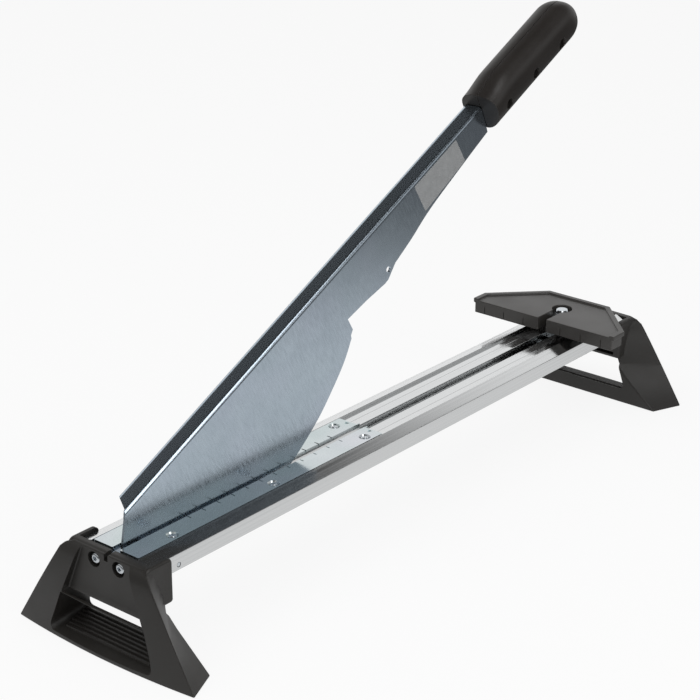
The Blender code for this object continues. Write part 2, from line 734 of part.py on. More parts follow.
def make_blade_lever(lever):
    sheet_place = Matrix.Translation((0, BLADE_Y, 0)) @ UPRIGHT
    holes = [
        circle((0, 0), PIVOT_HOLE_RADIUS, 24),
        circle(HANG_HOLE, HANG_HOLE_RADIUS, 20),
    ]
    mesh = outline_mesh("blade_lever", [lever_outline(), *holes], SHEET, sheet_place)
    blade = add_object("blade_lever", mesh, GALVANISED, lever)
    # The folds stand a hair inside the sheet's faces, so no two faces lie in one plane
    outer_fold = flange_outline(FLANGE_OUTER_Y, FLANGE_LIP, FLANGE_W, 0.03 * MM)
    tang_fold = flange_outline(TANG_FLANGE_Y, 0.0, FLANGE_W - 0.1 * MM, 0.06 * MM)
    for label, fold, start, end in (
        ("outer_flange", outer_fold, -1.5 * MM, GRIP_START_U - 0.6 * MM),
        ("tang_flange", tang_fold, GRIP_START_U - 2 * MM, TANG_END_U - 0.5 * MM),
    ):
        place = Matrix.Translation(((start + end) / 2, 0, 0)) @ ALONG_X
        join(blade, outline_mesh(label, [fold], end - start, place), lever)
    for number, u in enumerate(GRIP_SCREW_U):
        spot = (u, GRIP_SCREW_W)
        cut(blade, rod_mesh(
            f"tang_hole_{number}",
            (spot[0], BLADE_Y - 5 * MM, spot[1]),
            (spot[0], BLADE_Y + 5 * MM, spot[1]),
            GRIP_SCREW_SHANK_RADIUS + GAP,
            14,
        ), lever)
    # The folds' near end follows the sheet's edge, and the flange is cut on the slant back from it
    cut(blade, outline_mesh("fold_end", [[
        (-40 * MM, 15.8 * MM),
        (-14.3 * MM, 15.8 * MM),
        (2.5 * MM, 38.4 * MM),
        (-40 * MM, 38.4 * MM),
    ]], 60 * MM, UPRIGHT), lever)
    cut(blade, outline_mesh("flange_slant", [[
        (-25 * MM, SHEET / 2 + 0.1 * MM),
        (2.2 * MM, SHEET / 2 + 0.1 * MM),
        (11.3 * MM, FLANGE_OUTER_Y + 0.5 * MM),
        (11.3 * MM, 30 * MM),
        (-25 * MM, 30 * MM),
    ]], 40 * MM, Matrix.Translation((0, 0, FLANGE_W + 20 * MM - FLANGE_LIP - 1 * MM))), lever)


def grip_section(rise, scale, drop_scale=1.0):
    """The grip's outline (y, w): round on top, drawn in towards the fingers."""
    points = []
    steps = 28
    for step in range(steps):
        angle = 2 * math.pi * step / steps
        side = math.cos(angle)
        up = math.sin(angle)
        height = rise if up > 0 else GRIP_BOTTOM_DROP * drop_scale
        narrow = 1.0 if up > 0 else 1.0 - 0.30 * up ** 2
        y = GRIP_HALF_WIDTH * scale * narrow * math.copysign(abs(side) ** 0.8, side)
        w = GRIP_SECTION_W + height * scale * math.copysign(abs(up) ** 0.8, up)
        points.append((y, w))
    return points


def make_grip_half(name, side, lever):
    stations = (
        (GRIP_START_U, 0.93, 0.0),
        (GRIP_START_U + 2 * MM, 1.0, 0.0),
        (GRIP_START_U + 40 * MM, 1.0, 0.2),
        (GRIP_END_U - 45 * MM, 1.0, 0.6),
        (GRIP_END_U - 20 * MM, 1.02, 1.0),
        (GRIP_END_U - 12 * MM, 0.99, 1.0),
        (GRIP_END_U - 6 * MM, 0.91, 1.0),
        (GRIP_END_U - 2 * MM, 0.77, 1.0),
        (GRIP_END_U, 0.58, 1.0),
    )

    def build(grown):
        rings = []
        for u, scale, flare in stations:
            rise = GRIP_TOP_RISE + (GRIP_TOP_RISE_FAR - GRIP_TOP_RISE) * flare
            section = grip_section(rise, scale)
            rings.append([grown.verts.new((u, BLADE_Y + y, w)) for y, w in section])
        for first, second in zip(rings, rings[1:]):
            count = len(first)
            for index in range(count):
                after = (index + 1) % count
                grown.faces.new((first[index], first[after], second[after], second[index]))
        grown.faces.new(rings[0])
        grown.faces.new(list(reversed(rings[-1])))

    half = add_object(name, mesh_from(name, build), PLASTIC, lever)
    smooth_shade(half, 40)
    far = 60 * MM
    low_y, high_y = sorted((BLADE_Y + side * GAP / 2, BLADE_Y - side * far))
    cut(half, box_mesh(name + "_seam", (400 * MM, low_y, -20 * MM), (560 * MM, high_y, 100 * MM)), lever)
    room = SHEET / 2 + GAP
    cut(half, box_mesh(
        name + "_tang_room",
        (400 * MM, BLADE_Y - room, TANG_BOTTOM_W - GAP),
        (TANG_END_U + GAP, BLADE_Y + room, FLANGE_W + GAP),
    ), lever)
    if side > 0:
        cut(half, box_mesh(
            name + "_flange_room",
            (400 * MM, BLADE_Y, FLANGE_W - 6 * MM - GAP),
            (TANG_END_U + GAP, TANG_FLANGE_Y + GAP, FLANGE_W + GAP),
        ), lever)
    for number, u in enumerate(GRIP_SCREW_U):
        tip = (u, 11 * MM, GRIP_SCREW_W)
        cut(half, rod_mesh(
            f"{name}_shank_hole_{number}", (u, -20 * MM, GRIP_SCREW_W), tip, GRIP_SCREW_SHANK_RADIUS + GAP, 12,
        ), lever)
        if side < 0:
            seat = (u, GRIP_SCREW_SEAT_Y, GRIP_SCREW_W)
            cut(half, rod_mesh(
                f"{name}_head_bore_{number}", seat, (u, -40 * MM, GRIP_SCREW_W), GRIP_BORE_RADIUS, 18,
            ), lever)


def make_grip_screw(name, u, lever):
    seat = -GRIP_SCREW_SEAT_Y + GAP
    profile = [
        (0.0, seat + 2.2 * MM),
        (1.8 * MM, seat + 2.1 * MM),
        (GRIP_SCREW_HEAD_RADIUS, seat + 1.0 * MM),
        (GRIP_SCREW_HEAD_RADIUS, seat),
        (GRIP_SCREW_SHANK_RADIUS, seat),
        (GRIP_SCREW_SHANK_RADIUS, -9.5 * MM),
        (0.0, -10.5 * MM),
    ]
    towards_user = Vector((0, -1, 0)).to_track_quat("Z", "Y").to_matrix().to_4x4()
    place = Matrix.Translation((u, 0, GRIP_SCREW_W)) @ towards_user
    screw = add_object(name, turned_mesh(name, profile, place, 16), ZINC, lever)
    smooth_shade(screw)


def make_label(lever):
    outer_y = BLADE_Y - SHEET / 2 - GAP
    slant = 2.6 * MM
    outline = [
        (LABEL_U[0], LABEL_W[0] - 2.0 * MM),
        (LABEL_U[1], LABEL_W[0] + 1.4 * MM),
        (LABEL_U[1] - slant, LABEL_W[1]),
        (LABEL_U[0] - slant, LABEL_W[1]),
    ]
    place = Matrix.Translation((0, outer_y - LABEL_THICKNESS / 2, 0)) @ UPRIGHT
    add_object("lever_label", outline_mesh("lever_label", [outline], LABEL_THICKNESS, place), LABEL, lever)


def make_pivot():
    inner_face = RAIL_HALF_WIDTH - LEG_THICKNESS - GAP
    tip = RAIL_HALF_WIDTH - 0.2 * MM
    profile = [
        (0.0, tip),
        (PIN_END_RADIUS, tip),
        (PIN_END_RADIUS, inner_face),
        (PIN_RADIUS, inner_face),
        (PIN_RADIUS, -inner_face),
        (PIN_END_RADIUS, -inner_face),
        (PIN_END_RADIUS, -tip),
        (0.0, -tip),
    ]
    sideways = Vector((0, 1, 0)).to_track_quat("Z", "Y").to_matrix().to_4x4()
    place = Matrix.Translation(PIVOT) @ sideways
    pin = add_object("pivot_pin", turned_mesh("pivot_pin", profile, place, 20), ZINC)
    smooth_shade(pin)
    wall = CHANNEL_HALF - GAP
    blade_right = BLADE_Y - SHEET / 2 - GAP
    blade_left = BLADE_Y + SHEET / 2 + GAP
    for name, low, high in (
        ("pivot_spacer_right", -wall, blade_right),
        ("pivot_spacer_left", blade_left, wall),
    ):
        ring = [
            (SPACER_RADIUS, high),
            (SPACER_RADIUS, low),
            (PIN_RADIUS + GAP, low),
            (PIN_RADIUS + GAP, high),
            (SPACER_RADIUS, high),
        ]
        spacer = add_object(name, turned_mesh(name, ring, place, 20), ZINC)
        smooth_shade(spacer)


def make_fence(carriage, fence):
    outline = [
        (FENCE_FRONT, FENCE_SLIT_HALF),
        (FENCE_FRONT, FENCE_HALF_WIDTH),
        (FENCE_SIDE_BACK, FENCE_HALF_WIDTH),
        (FENCE_BACK, FENCE_BACK_HALF),
        (FENCE_BACK, -FENCE_BACK_HALF),
        (FENCE_SIDE_BACK, -FENCE_HALF_WIDTH),
        (FENCE_FRONT, -FENCE_HALF_WIDTH),
        (FENCE_FRONT, -FENCE_SLIT_HALF),
        (0.0, -FENCE_SLIT_HALF),
        (0.0, FENCE_SLIT_HALF),
    ]
    height = FENCE_RIM_TOP - FENCE_BOTTOM
    mesh = outline_mesh("fence_plate", [outline], height, Matrix.Translation((0, 0, FENCE_BOTTOM + height / 2)))
    plate = add_object("fence_plate", mesh, PLASTIC, fence)

    # Inside the rim the plate is lower, and under the rim the walls stand back
    def back_line(inset):
        side_half = FENCE_HALF_WIDTH - inset
        corner_half = FENCE_BACK_HALF - inset * 0.4
        half = [
            (FENCE_FRONT - 5 * MM, side_half),
            (FENCE_SIDE_BACK - inset * 0.4, side_half),
            (FENCE_BACK - inset, corner_half),
        ]
        return half + [(x, -y) for x, y in reversed(half)]

    place = Matrix.Translation((0, 0, FENCE_TOP + 10 * MM))
    cut(plate, outline_mesh("fence_top", [back_line(FENCE_RIM_WIDTH)], 20 * MM, place), fence)
    skirt = back_line(FENCE_OVERHANG)
    reach = FENCE_HALF_WIDTH + 10 * MM
    around = [
        *skirt,
        (FENCE_FRONT - 5 * MM, -reach),
        (FENCE_BACK + 10 * MM, -reach),
        (FENCE_BACK + 10 * MM, reach),
        (FENCE_FRONT - 5 * MM, reach),
    ]
    place = Matrix.Translation((0, 0, FENCE_RIM_BOTTOM - 10 * MM))
    cut(plate, outline_mesh("fence_skirt", [around], 20 * MM, place), fence)
    join(plate, rod_mesh(
        "fence_boss", (0, 0, FENCE_BOTTOM), (0, 0, FENCE_TOP - 3 * MM), FENCE_BOSS_RADIUS, 28,
    ), fence)
    inset = FENCE_WALL + FENCE_OVERHANG
    for side in (-1, 1):
        pocket = [
            (FENCE_FRONT + FENCE_WALL, side * (FENCE_SLIT_HALF + FENCE_WALL)),
            (FENCE_FRONT + FENCE_WALL, side * (FENCE_HALF_WIDTH - inset)),
            (FENCE_SIDE_BACK - inset * 0.4, side * (FENCE_HALF_WIDTH - inset)),
            (FENCE_BACK - inset, side * (FENCE_BACK_HALF - inset * 0.4)),
            (FENCE_BACK - inset, side * 16 * MM),
            (0.0, side * 16 * MM),
            (-13 * MM, side * (FENCE_SLIT_HALF + FENCE_WALL)),
        ]
        place = Matrix.Translation((0, 0, FENCE_BOTTOM + 2.5 * MM))
        cut(plate, outline_mesh(f"fence_pocket_{side}", [pocket], 10 * MM, place), fence)
    cut(plate, rod_mesh(
        "fence_recess", (0, 0, FENCE_RECESS_FLOOR), (0, 0, FENCE_TOP + 5 * MM), FENCE_RECESS_RADIUS, 28,
    ), fence)
    cut(plate, rod_mesh(
        "fence_bolt_hole", (0, 0, FENCE_BOTTOM - 5 * MM), (0, 0, FENCE_RECESS_FLOOR + 2 * MM), BOLT_HOLE_RADIUS, 20,
    ), fence)

    teeth = []
    for tooth in range(HUB_TEETH):
        base = 2 * math.pi * tooth / HUB_TEETH
        root = HUB_RADIUS - HUB_TOOTH
        for share, radius in ((0.0, HUB_RADIUS), (0.42, HUB_RADIUS), (0.5, root), (0.92, root)):
            angle = base + share * 2 * math.pi / HUB_TEETH
            teeth.append((radius * math.cos(angle), radius * math.sin(angle)))
    hub_low = SEAT_TOP + GAP
    hub_high = FENCE_BOTTOM - GAP
    place = Matrix.Translation((0, 0, (hub_low + hub_high) / 2))
    mesh = outline_mesh("fence_hub", [teeth], hub_high - hub_low, place)
    hub = add_object("fence_hub", mesh, PLASTIC, carriage)
    keel = SLOT_HALF - GAP
    join(hub, box_mesh(
        "fence_keel", (-HUB_KEEL_LENGTH / 2, -keel, CHANNEL_TOP), (HUB_KEEL_LENGTH / 2, keel, SEAT_TOP + 2 * MM),
    ), carriage)
    cut(hub, rod_mesh("hub_bore", (0, 0, 60 * MM), (0, 0, 80 * MM), BOLT_HOLE_RADIUS, 20), carriage)

    nut_half = CHANNEL_HALF - GAP
    nut_low = (-T_NUT_LENGTH / 2, -nut_half, T_NUT_BOTTOM)
    nut_high = (T_NUT_LENGTH / 2, nut_half, T_NUT_TOP)
    nut = add_object("fence_t_nut", box_mesh("fence_t_nut", nut_low, nut_high), ZINC, carriage)
    cut(nut, rod_mesh("nut_bore", (0, 0, 55 * MM), (0, 0, 70 * MM), BOLT_HOLE_RADIUS, 20), carriage)

    washer_low = FENCE_RECESS_FLOOR + GAP
    washer_high = washer_low + WASHER_THICKNESS
    ring = [
        (WASHER_RADIUS, washer_high),
        (WASHER_RADIUS, washer_low),
        (BOLT_HOLE_RADIUS, washer_low),
        (BOLT_HOLE_RADIUS, washer_high),
        (WASHER_RADIUS, washer_high),
    ]
    washer = add_object("fence_washer", turned_mesh("fence_washer", ring, Matrix.Identity(4), 28), ZINC, carriage)
    smooth_shade(washer)

    head_low = washer_high + GAP
    bolt_tip = T_NUT_BOTTOM - 1 * MM
    head = rod_mesh("fence_clamp_bolt", (0, 0, head_low), (0, 0, head_low + BOLT_HEAD_HEIGHT), BOLT_HEAD_RADIUS, 6)
    bolt = add_object("fence_clamp_bolt", head, ZINC, carriage)
    flange_high = head_low + BOLT_FLANGE_HEIGHT
    flange_low = head_low - 0.1 * MM
    join(bolt, rod_mesh("bolt_flange", (0, 0, flange_low), (0, 0, flange_high), BOLT_FLANGE_RADIUS, 28), carriage)
    join(bolt, rod_mesh("bolt_shank", (0, 0, bolt_tip), (0, 0, head_low + 1 * MM), BOLT_RADIUS, 20), carriage)


make_rail()
make_support_plate("left_support_plate", 1)
make_support_plate("right_support_plate", -1)
for side_name, side in (("left", 1), ("right", -1)):
    for number, rivet_x in enumerate(RIVET_X, 1):
        make_rivet(f"plate_rivet_{side_name}_{number}", rivet_x, side * RIVET_Y)
for foot_name, end in (("near", -1), ("far", 1)):
    make_foot(f"{foot_name}_foot", end)
    make_foot_screw(f"{foot_name}_foot_screw_left", end, 1)
    make_foot_screw(f"{foot_name}_foot_screw_right", end, -1)
make_pivot()

lever_empty = bpy.data.objects.new("lever_axis", None)
lever_empty.location = PIVOT
lever_empty.rotation_euler = (0, -LEVER_ANGLE, 0)
part_collection.objects.link(lever_empty)
make_blade_lever(lever_empty)
make_grip_half("grip_left_half", 1, lever_empty)
make_grip_half("grip_right_half", -1, lever_empty)
for number, screw_u in enumerate(GRIP_SCREW_U, 1):
    make_grip_screw(f"grip_screw_{number}", screw_u, lever_empty)
make_label(lever_empty)

carriage_empty = bpy.data.objects.new("fence_carriage_origin", None)
carriage_empty.location = (FENCE_X, 0, 0)
part_collection.objects.link(carriage_empty)
fence_empty = bpy.data.objects.new("fence_axis", None)
fence_empty.parent = carriage_empty
part_collection.objects.link(fence_empty)
make_fence(carriage_empty, fence_empty)
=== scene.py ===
import json
import math

import bpy
from mathutils import Matrix, Vector


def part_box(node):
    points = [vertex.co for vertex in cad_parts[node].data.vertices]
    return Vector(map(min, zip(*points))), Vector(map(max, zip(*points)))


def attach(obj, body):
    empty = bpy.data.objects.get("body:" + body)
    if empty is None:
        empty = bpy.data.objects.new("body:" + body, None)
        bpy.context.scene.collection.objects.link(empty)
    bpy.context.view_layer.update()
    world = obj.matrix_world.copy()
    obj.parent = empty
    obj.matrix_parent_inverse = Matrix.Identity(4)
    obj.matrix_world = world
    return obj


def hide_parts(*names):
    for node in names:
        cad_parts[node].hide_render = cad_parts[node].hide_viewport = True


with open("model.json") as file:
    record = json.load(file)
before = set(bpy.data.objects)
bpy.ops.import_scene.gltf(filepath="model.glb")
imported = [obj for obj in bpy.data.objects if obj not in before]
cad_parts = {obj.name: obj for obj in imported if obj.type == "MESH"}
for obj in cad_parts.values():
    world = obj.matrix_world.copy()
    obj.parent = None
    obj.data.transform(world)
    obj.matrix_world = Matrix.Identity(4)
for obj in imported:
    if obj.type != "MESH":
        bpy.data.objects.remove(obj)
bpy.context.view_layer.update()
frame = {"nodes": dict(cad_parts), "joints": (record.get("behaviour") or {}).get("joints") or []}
nodes = frame["nodes"]
joints = {joint["name"]: joint for joint in frame["joints"]}
pivot = Vector(joints["lever_pivot"]["pos_m"])
clampPoint = Vector(joints["fence_swivel"]["pos_m"])
railLow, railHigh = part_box("rail")
plateLow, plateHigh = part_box("right_support_plate")
mm = 0.001
print("laminate cutter: frame loaded")

# small tools

# a flat outline lies in XY: acrossRail stands it square to the rail, inLever stands it in the blade's plane
acrossRail = Matrix(((0, 0, 1, 0), (1, 0, 0, 0), (0, 1, 0, 0), (0, 0, 0, 1)))
inLever = Matrix(((1, 0, 0, 0), (0, 0, -1, 0), (0, 1, 0, 0), (0, 0, 0, 1)))


def shift(x, y, z):
    return Matrix.Translation((x * mm, y * mm, z * mm))


def deselectAll():
    bpy.ops.object.select_all(action="DESELECT")


def pick(piece):
    deselectAll()
    piece.select_set(True)
    bpy.context.view_layer.objects.active = piece
    return piece


def setMode(mode):
    bpy.ops.object.mode_set(mode=mode)


def applyPlace():
    bpy.ops.object.transform_apply(location=True, rotation=True, scale=True)


def placeBy(piece, matrix):
    pick(piece)
    piece.matrix_world = matrix @ piece.matrix_world
    applyPlace()
    return piece


def useModifier(piece, kind, **settings):
    pick(piece)
    step = piece.modifiers.new(kind.lower(), kind)
    for name, value in settings.items():
        setattr(step, name, value)
    bpy.ops.object.modifier_apply(modifier=step.name)
    return piece


def combine(piece, other, operation="DIFFERENCE"):
    useModifier(piece, "BOOLEAN", operation=operation, solver="EXACT", object=other)
    bpy.data.objects.remove(other, do_unlink=True)
    return piece


def roundEdges(piece, width, steepest=35, segments=3):
    return useModifier(
        piece, "BEVEL", width=width * mm, segments=segments, limit_method="ANGLE",
        angle_limit=math.radians(steepest), miter_outer="MITER_ARC", use_clamp_overlap=True,
    )


def roundChosen(piece, chosen, width, segments):
    # rounds only the edges that chosen picks, from their two ends in mm
    pick(piece)
    setMode("EDIT")
    bpy.ops.mesh.select_mode(type="EDGE")
    bpy.ops.mesh.select_all(action="DESELECT")
    setMode("OBJECT")
    for edge in piece.data.edges:
        edge.select = chosen(*(piece.data.vertices[v].co / mm for v in edge.vertices))
    setMode("EDIT")
    bpy.ops.mesh.bevel(offset=width * mm, segments=segments, profile=0.5)
    setMode("OBJECT")


def cutThrough(point, normal, **settings):
    # cuts all of the mesh that is being edited along a plane
    bpy.ops.mesh.select_all(action="SELECT")
    bpy.ops.mesh.bisect(plane_co=[value * mm for value in point], plane_no=normal, **settings)


def smooth(piece, angle=32):
    pick(piece)
    bpy.ops.object.shade_smooth_by_angle(angle=math.radians(angle))
    return useModifier(piece, "WEIGHTED_NORMAL", mode="FACE_AREA", weight=95, keep_sharp=True)


def block(name, low, high):
    deselectAll()
    low, high = Vector(low) * mm, Vector(high) * mm
    bpy.ops.mesh.primitive_cube_add(size=1, location=(low + high) / 2)
    piece = bpy.context.active_object
    piece.name = name
    piece.scale = high - low
    applyPlace()
    return piece


def rod(name, start, end, radius, vertices=32, endRadius=None):
    deselectAll()
    start, end = Vector(start) * mm, Vector(end) * mm
    bpy.ops.mesh.primitive_cone_add(
        vertices=vertices, radius1=radius * mm, radius2=(radius if endRadius is None else endRadius) * mm,
        depth=(end - start).length, location=(start + end) / 2,
        rotation=(end - start).to_track_quat("Z", "Y").to_euler(),
    )
    piece = bpy.context.active_object
    piece.name = name
    applyPlace()
    return piece


def roundedCorners(corners, steps=6):
    # each corner is (across, up, radius) in mm, and each comes back as an arc
    line = []
    count = len(corners)
    for index, (x, y, radius) in enumerate(corners):
        here = Vector((x, y))
        back = Vector(corners[index - 1][:2]) - here
        ahead = Vector(corners[(index + 1) % count][:2]) - here
        if radius <= 0:
            line.append((x, y))
            continue
        half = back.angle(ahead) / 2
        reach = min(radius / math.tan(half), back.length * 0.49, ahead.length * 0.49)
        radius = reach * math.tan(half)
        centre = here + (back.normalized() + ahead.normalized()).normalized() * (radius / math.sin(half))
        first = here + back.normalized() * reach - centre
        last = here + ahead.normalized() * reach - centre
        turn = first.angle_signed(last)
        for step in range(steps + 1):
            angle = -turn * step / steps
            line.append((
                centre.x + first.x * math.cos(angle) - first.y * math.sin(angle),
                centre.y + first.x * math.sin(angle) + first.y * math.cos(angle),
            ))
    return line


def ring(across, up, radius, steps=28):
    return [
        (across + radius * math.cos(2 * math.pi * step / steps), up + radius * math.sin(2 * math.pi * step / steps))
        for step in range(steps)
    ]


def flatShape(name, outlines, thickness, place=Matrix.Identity(4)):
    # outlines in mm, filled, with the later ones as holes
    curve = bpy.data.curves.new(name, "CURVE")
    curve.dimensions = "2D"
    curve.fill_mode = "BOTH"
    curve.extrude = thickness * mm / 2
    for outline in outlines:
        spline = curve.splines.new("POLY")
        spline.points.add(len(outline) - 1)
        for point, (across, up) in zip(spline.points, outline):
            point.co = (across * mm, up * mm, 0, 1)
        spline.use_cyclic_u = True
    piece = bpy.data.objects.new(name, curve)
    bpy.context.collection.objects.link(piece)
    pick(piece)
    bpy.ops.object.convert(target="MESH")
    piece = bpy.context.active_object
    setMode("EDIT")
    bpy.ops.mesh.select_all(action="SELECT")
    bpy.ops.mesh.remove_doubles(threshold=0.00001)
    bpy.ops.mesh.dissolve_limited(angle_limit=math.radians(0.5))
    bpy.ops.mesh.select_all(action="SELECT")
    bpy.ops.mesh.normals_make_consistent(inside=False)
    setMode("OBJECT")
    return placeBy(piece, place)


def copyOf(pattern, name, move):
    copy = bpy.data.objects.new(name, pattern.data.copy())
    bpy.context.collection.objects.link(copy)
    return placeBy(copy, move)


def finishPiece(piece, finish, body, slot, *replaced):
    piece.data.materials.clear()
    piece.data.materials.append(finish)
    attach(piece, body)
    if replaced:
        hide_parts(*replaced)
    return piece


# materials


def linear(hexColour):
    parts = [int(hexColour[i:i + 2], 16) / 255 for i in (1, 3, 5)]
    return (*[c / 12.92 if c <= 0.04045 else ((c + 0.055) / 1.055) ** 2.4 for c in parts], 1.0)


def startMaterial(name, **sockets):
    made = bpy.data.materials.new(name)
    made.use_nodes = True
    shader = made.node_tree.nodes["Principled BSDF"]
    for socket, value in sockets.items():
        shader.inputs[socket.replace("_", " ")].default_value = value
    return made, shader


def add(made, kind, values=None, links=None, **settings):
    tree = made.node_tree
    node = tree.nodes.new(kind)
    for name, value in settings.items():
        setattr(node, name, value)
    for socket, value in (values or {}).items():
        node.inputs[socket].default_value = value
    for socket, source in (links or {}).items():
        tree.links.new(source, node.inputs[socket])
    return node


def noise(made, place, featureMm, detail, roughness=0.5):
    values = {"Scale": 1 / (featureMm * mm), "Detail": detail, "Roughness": roughness}
    return add(made, "ShaderNodeTexNoise", values, {"Vector": place}).outputs[0]


def mapRange(made, value, source, target, **settings):
    values = {"From Min": source[0], "From Max": source[1], "To Min": target[0], "To Max": target[1]}
    return add(made, "ShaderNodeMapRange", values, {"Value": value}, **settings).outputs[0]


def blend(made, share, darkHex, lightHex):
    ends = {6: linear(darkHex), 7: linear(lightHex)}
    return add(made, "ShaderNodeMix", ends, {0: share}, data_type="RGBA").outputs[2]


def dress(made, shader, colour, shine, height=None, strength=0.0, depthMm=0.0):
    made.node_tree.links.new(colour, shader.inputs["Base Color"])
    made.node_tree.links.new(shine, shader.inputs["Roughness"])
    if height is not None:
        bump = add(made, "ShaderNodeBump", {"Strength": strength, "Distance": depthMm * mm}, {"Height": height})
        made.node_tree.links.new(bump.outputs[0], shader.inputs["Normal"])
    return made


# most of a Noise texture's values lie between these
middling = (0.3, 0.7)

# extruded aluminium, bright drawn: the die leaves fine lines along the rail, and the bands between them
# shine a little differently
extrusionLook = {
    "lineMm": 1.1, "lineLengthMm": 260, "bandMm": 3.5, "dark": "#c9cbcc", "light": "#e2e3e3",
    "rough": (0.08, 0.18), "bump": 0.06, "bumpMm": 0.02,
}


def extrudedAluminium():
    look = extrusionLook
    made, shader = startMaterial("extrudedAluminium", Metallic=1.0)
    place = add(made, "ShaderNodeTexCoord").outputs["Object"]
    along = {"Scale": (look["lineMm"] / look["lineLengthMm"], 1, 1)}
    stretch = add(made, "ShaderNodeMapping", along, {"Vector": place}).outputs[0]
    lines = noise(made, stretch, look["lineMm"], 3, 0.7)
    bands = noise(made, stretch, look["bandMm"], 1)
    colour = blend(made, lines, look["dark"], look["light"])
    shine = mapRange(made, bands, middling, look["rough"])
    return dress(made, shader, colour, shine, lines, look["bump"], look["bumpMm"])


# galvanised sheet steel, cold rolled: a blue-grey zinc skin with faint clouds, and on its broad faces a fine
# upright nap that smears reflections into short strokes
sheetLook = {
    "cloudMm": 26, "napMm": 1.1, "napLengthMm": 8, "napMiddle": 0.5, "napEnds": (0.32, 0.68),
    "roughShare": (0.72, 1.32), "tintMm": 55, "tintEnds": (0.45, 0.75), "tintShare": (0.0, 0.5),
    "bump": 0.06, "bumpMm": 0.02,
}


def galvanisedSheet(name, darkHex, lightHex, tintHex, rough, leanDegrees, broadAxis):
    look = sheetLook
    made, shader = startMaterial(name, Metallic=1.0)
    where = add(made, "ShaderNodeTexCoord").outputs
    facing = add(made, "ShaderNodeSeparateXYZ", None, {"Vector": where["Normal"]}).outputs[broadAxis]
    broad = add(made, "ShaderNodeMath", None, {0: facing}, operation="ABSOLUTE").outputs[0]
    lean = {"Rotation": (0, math.radians(leanDegrees), 0)}
    turned = add(made, "ShaderNodeMapping", lean, {"Vector": where["Object"]}).outputs[0]
    upright = {"Scale": (1, 1, look["napMm"] / look["napLengthMm"])}
    stroke = add(made, "ShaderNodeMapping", upright, {"Vector": turned}).outputs[0]
    strokes = noise(made, stroke, look["napMm"], 2, 0.6)
    nap = add(made, "ShaderNodeMix", {2: look["napMiddle"]}, {0: broad, 3: strokes}).outputs[0]
    skin = blend(made, noise(made, turned, look["cloudMm"], 4, 0.55), darkHex, lightHex)
    tintShare = mapRange(made, noise(made, turned, look["tintMm"], 1), look["tintEnds"], look["tintShare"])
    tinted = {0: tintShare, 6: skin}
    colour = add(made, "ShaderNodeMix", {7: linear(tintHex)}, tinted, data_type="RGBA").outputs[2]
    shine = mapRange(made, nap, look["napEnds"], [rough * share for share in look["roughShare"]])
    return dress(made, shader, colour, shine, nap, look["bump"], look["bumpMm"])


# bright zinc plate on cold-headed steel: nearly white, with a soft tumbling mottle
def zincPlate():
    mottleMm, rough = 1.4, (0.14, 0.3)
    made, shader = startMaterial("brightZincPlate", Metallic=1.0)
    mottle = noise(made, add(made, "ShaderNodeTexCoord").outputs["Object"], mottleMm, 3)
    colour = blend(made, mottle, "#b9c0c6", "#dfe3e6")
    return dress(made, shader, colour, mapRange(made, mottle, middling, rough))


# glass-filled polyamide, injection moulded in a spark-eroded tool: warm near-black with a fine even grain,
# drawn coarser than the real 0.2 mm so that it shows
def mouldedBlack(name, darkHex, lightHex, rough):
    grainMm, flowMm, roughShare, bump, bumpMm = 0.9, 30, (0.88, 1.12), 0.18, 0.05
    made, shader = startMaterial(name, IOR=1.5)
    place = add(made, "ShaderNodeTexCoord").outputs["Object"]
    grain = noise(made, place, grainMm, 2, 0.6)
    flow = noise(made, place, flowMm, 2)
    shine = mapRange(made, flow, middling, [rough * share for share in roughShare])
    return dress(made, shader, blend(made, flow, darkHex, lightHex), shine, grain, bump, bumpMm)


# metallised polyester film: a pale matt silver skin, a little clouded
def silverFilm():
    cloudMm, rough = 6, (0.36, 0.46)
    made, shader = startMaterial("silverPolyesterFilm", Metallic=0.35)
    cloud = noise(made, add(made, "ShaderNodeTexCoord").outputs["Object"], cloudMm, 3)
    colour = blend(made, cloud, "#9a9c9d", "#adafb0")
    return dress(made, shader, colour, mapRange(made, cloud, middling, rough))


leverDegrees = 26.6
aluminium = extrudedAluminium()
# the lever's copy of the galvanised steel is drawn darker than the plates' copy, as painted shade: it stands in for
# the darker floor that the lever's upright sides mirror
leverSteelPaintedDarker = galvanisedSheet("galvanisedLeverSheet", "#a6b3be", "#b9c6d0", "#b4bccb", 0.24, leverDegrees, "Y")
plateSteel = galvanisedSheet("galvanisedPlateStrip", "#b9c4c6", "#d3dcdc", "#d6d2dc", 0.16, 0, "Z")
zinc = zincPlate()
footPlastic = mouldedBlack("mouldedPolyamideFeet", "#1f1d1b", "#262421", 0.48)
# the fence's copy of the feet's polyamide is drawn lighter, as painted light: it stands in for the brighter top that
# light from above gives the fence
fencePlasticPaintedLighter = mouldedBlack("mouldedPolyamideFencePaintedLighter", "#302e2c", "#393735", 0.36)
gripPlastic = mouldedBlack("mouldedPolypropyleneGrip", "#1e1b19", "#26221f", 0.42)
film = silverFilm()
print("laminate cutter: materials made")

# rail, from the extrusion's own section

railShape = {
    "crestY": 20.6, "seatTop": 68.6, "sideTop": 68.0, "webBottom": 66.3, "legThickness": 2.2, "slotHalf": 4.3,
    "channelHalf": 6.6, "channelTop": 66.6, "channelFloor": 60.3, "channelWall": 1.8, "bossOuterY": 15.6,
    "bossBottom": 59.9, "screwChannelY": 11, "screwChannelZ": 63.2, "screwChannelRadius": 1.9,
    "windowEndX": -18, "windowTop": 61.3, "spacerWindowEndX": -240, "cutBottom": 50, "cutOver": 0.05,
    "pinBoreRadius": 3.3, "pinEndRadius": 1.8, "guideLineY": 12.6, "guideLineWidth": 0.5, "guideLineDepth": 0.25,
    "edge": 0.35, "shoulderEdge": 0.5,
}


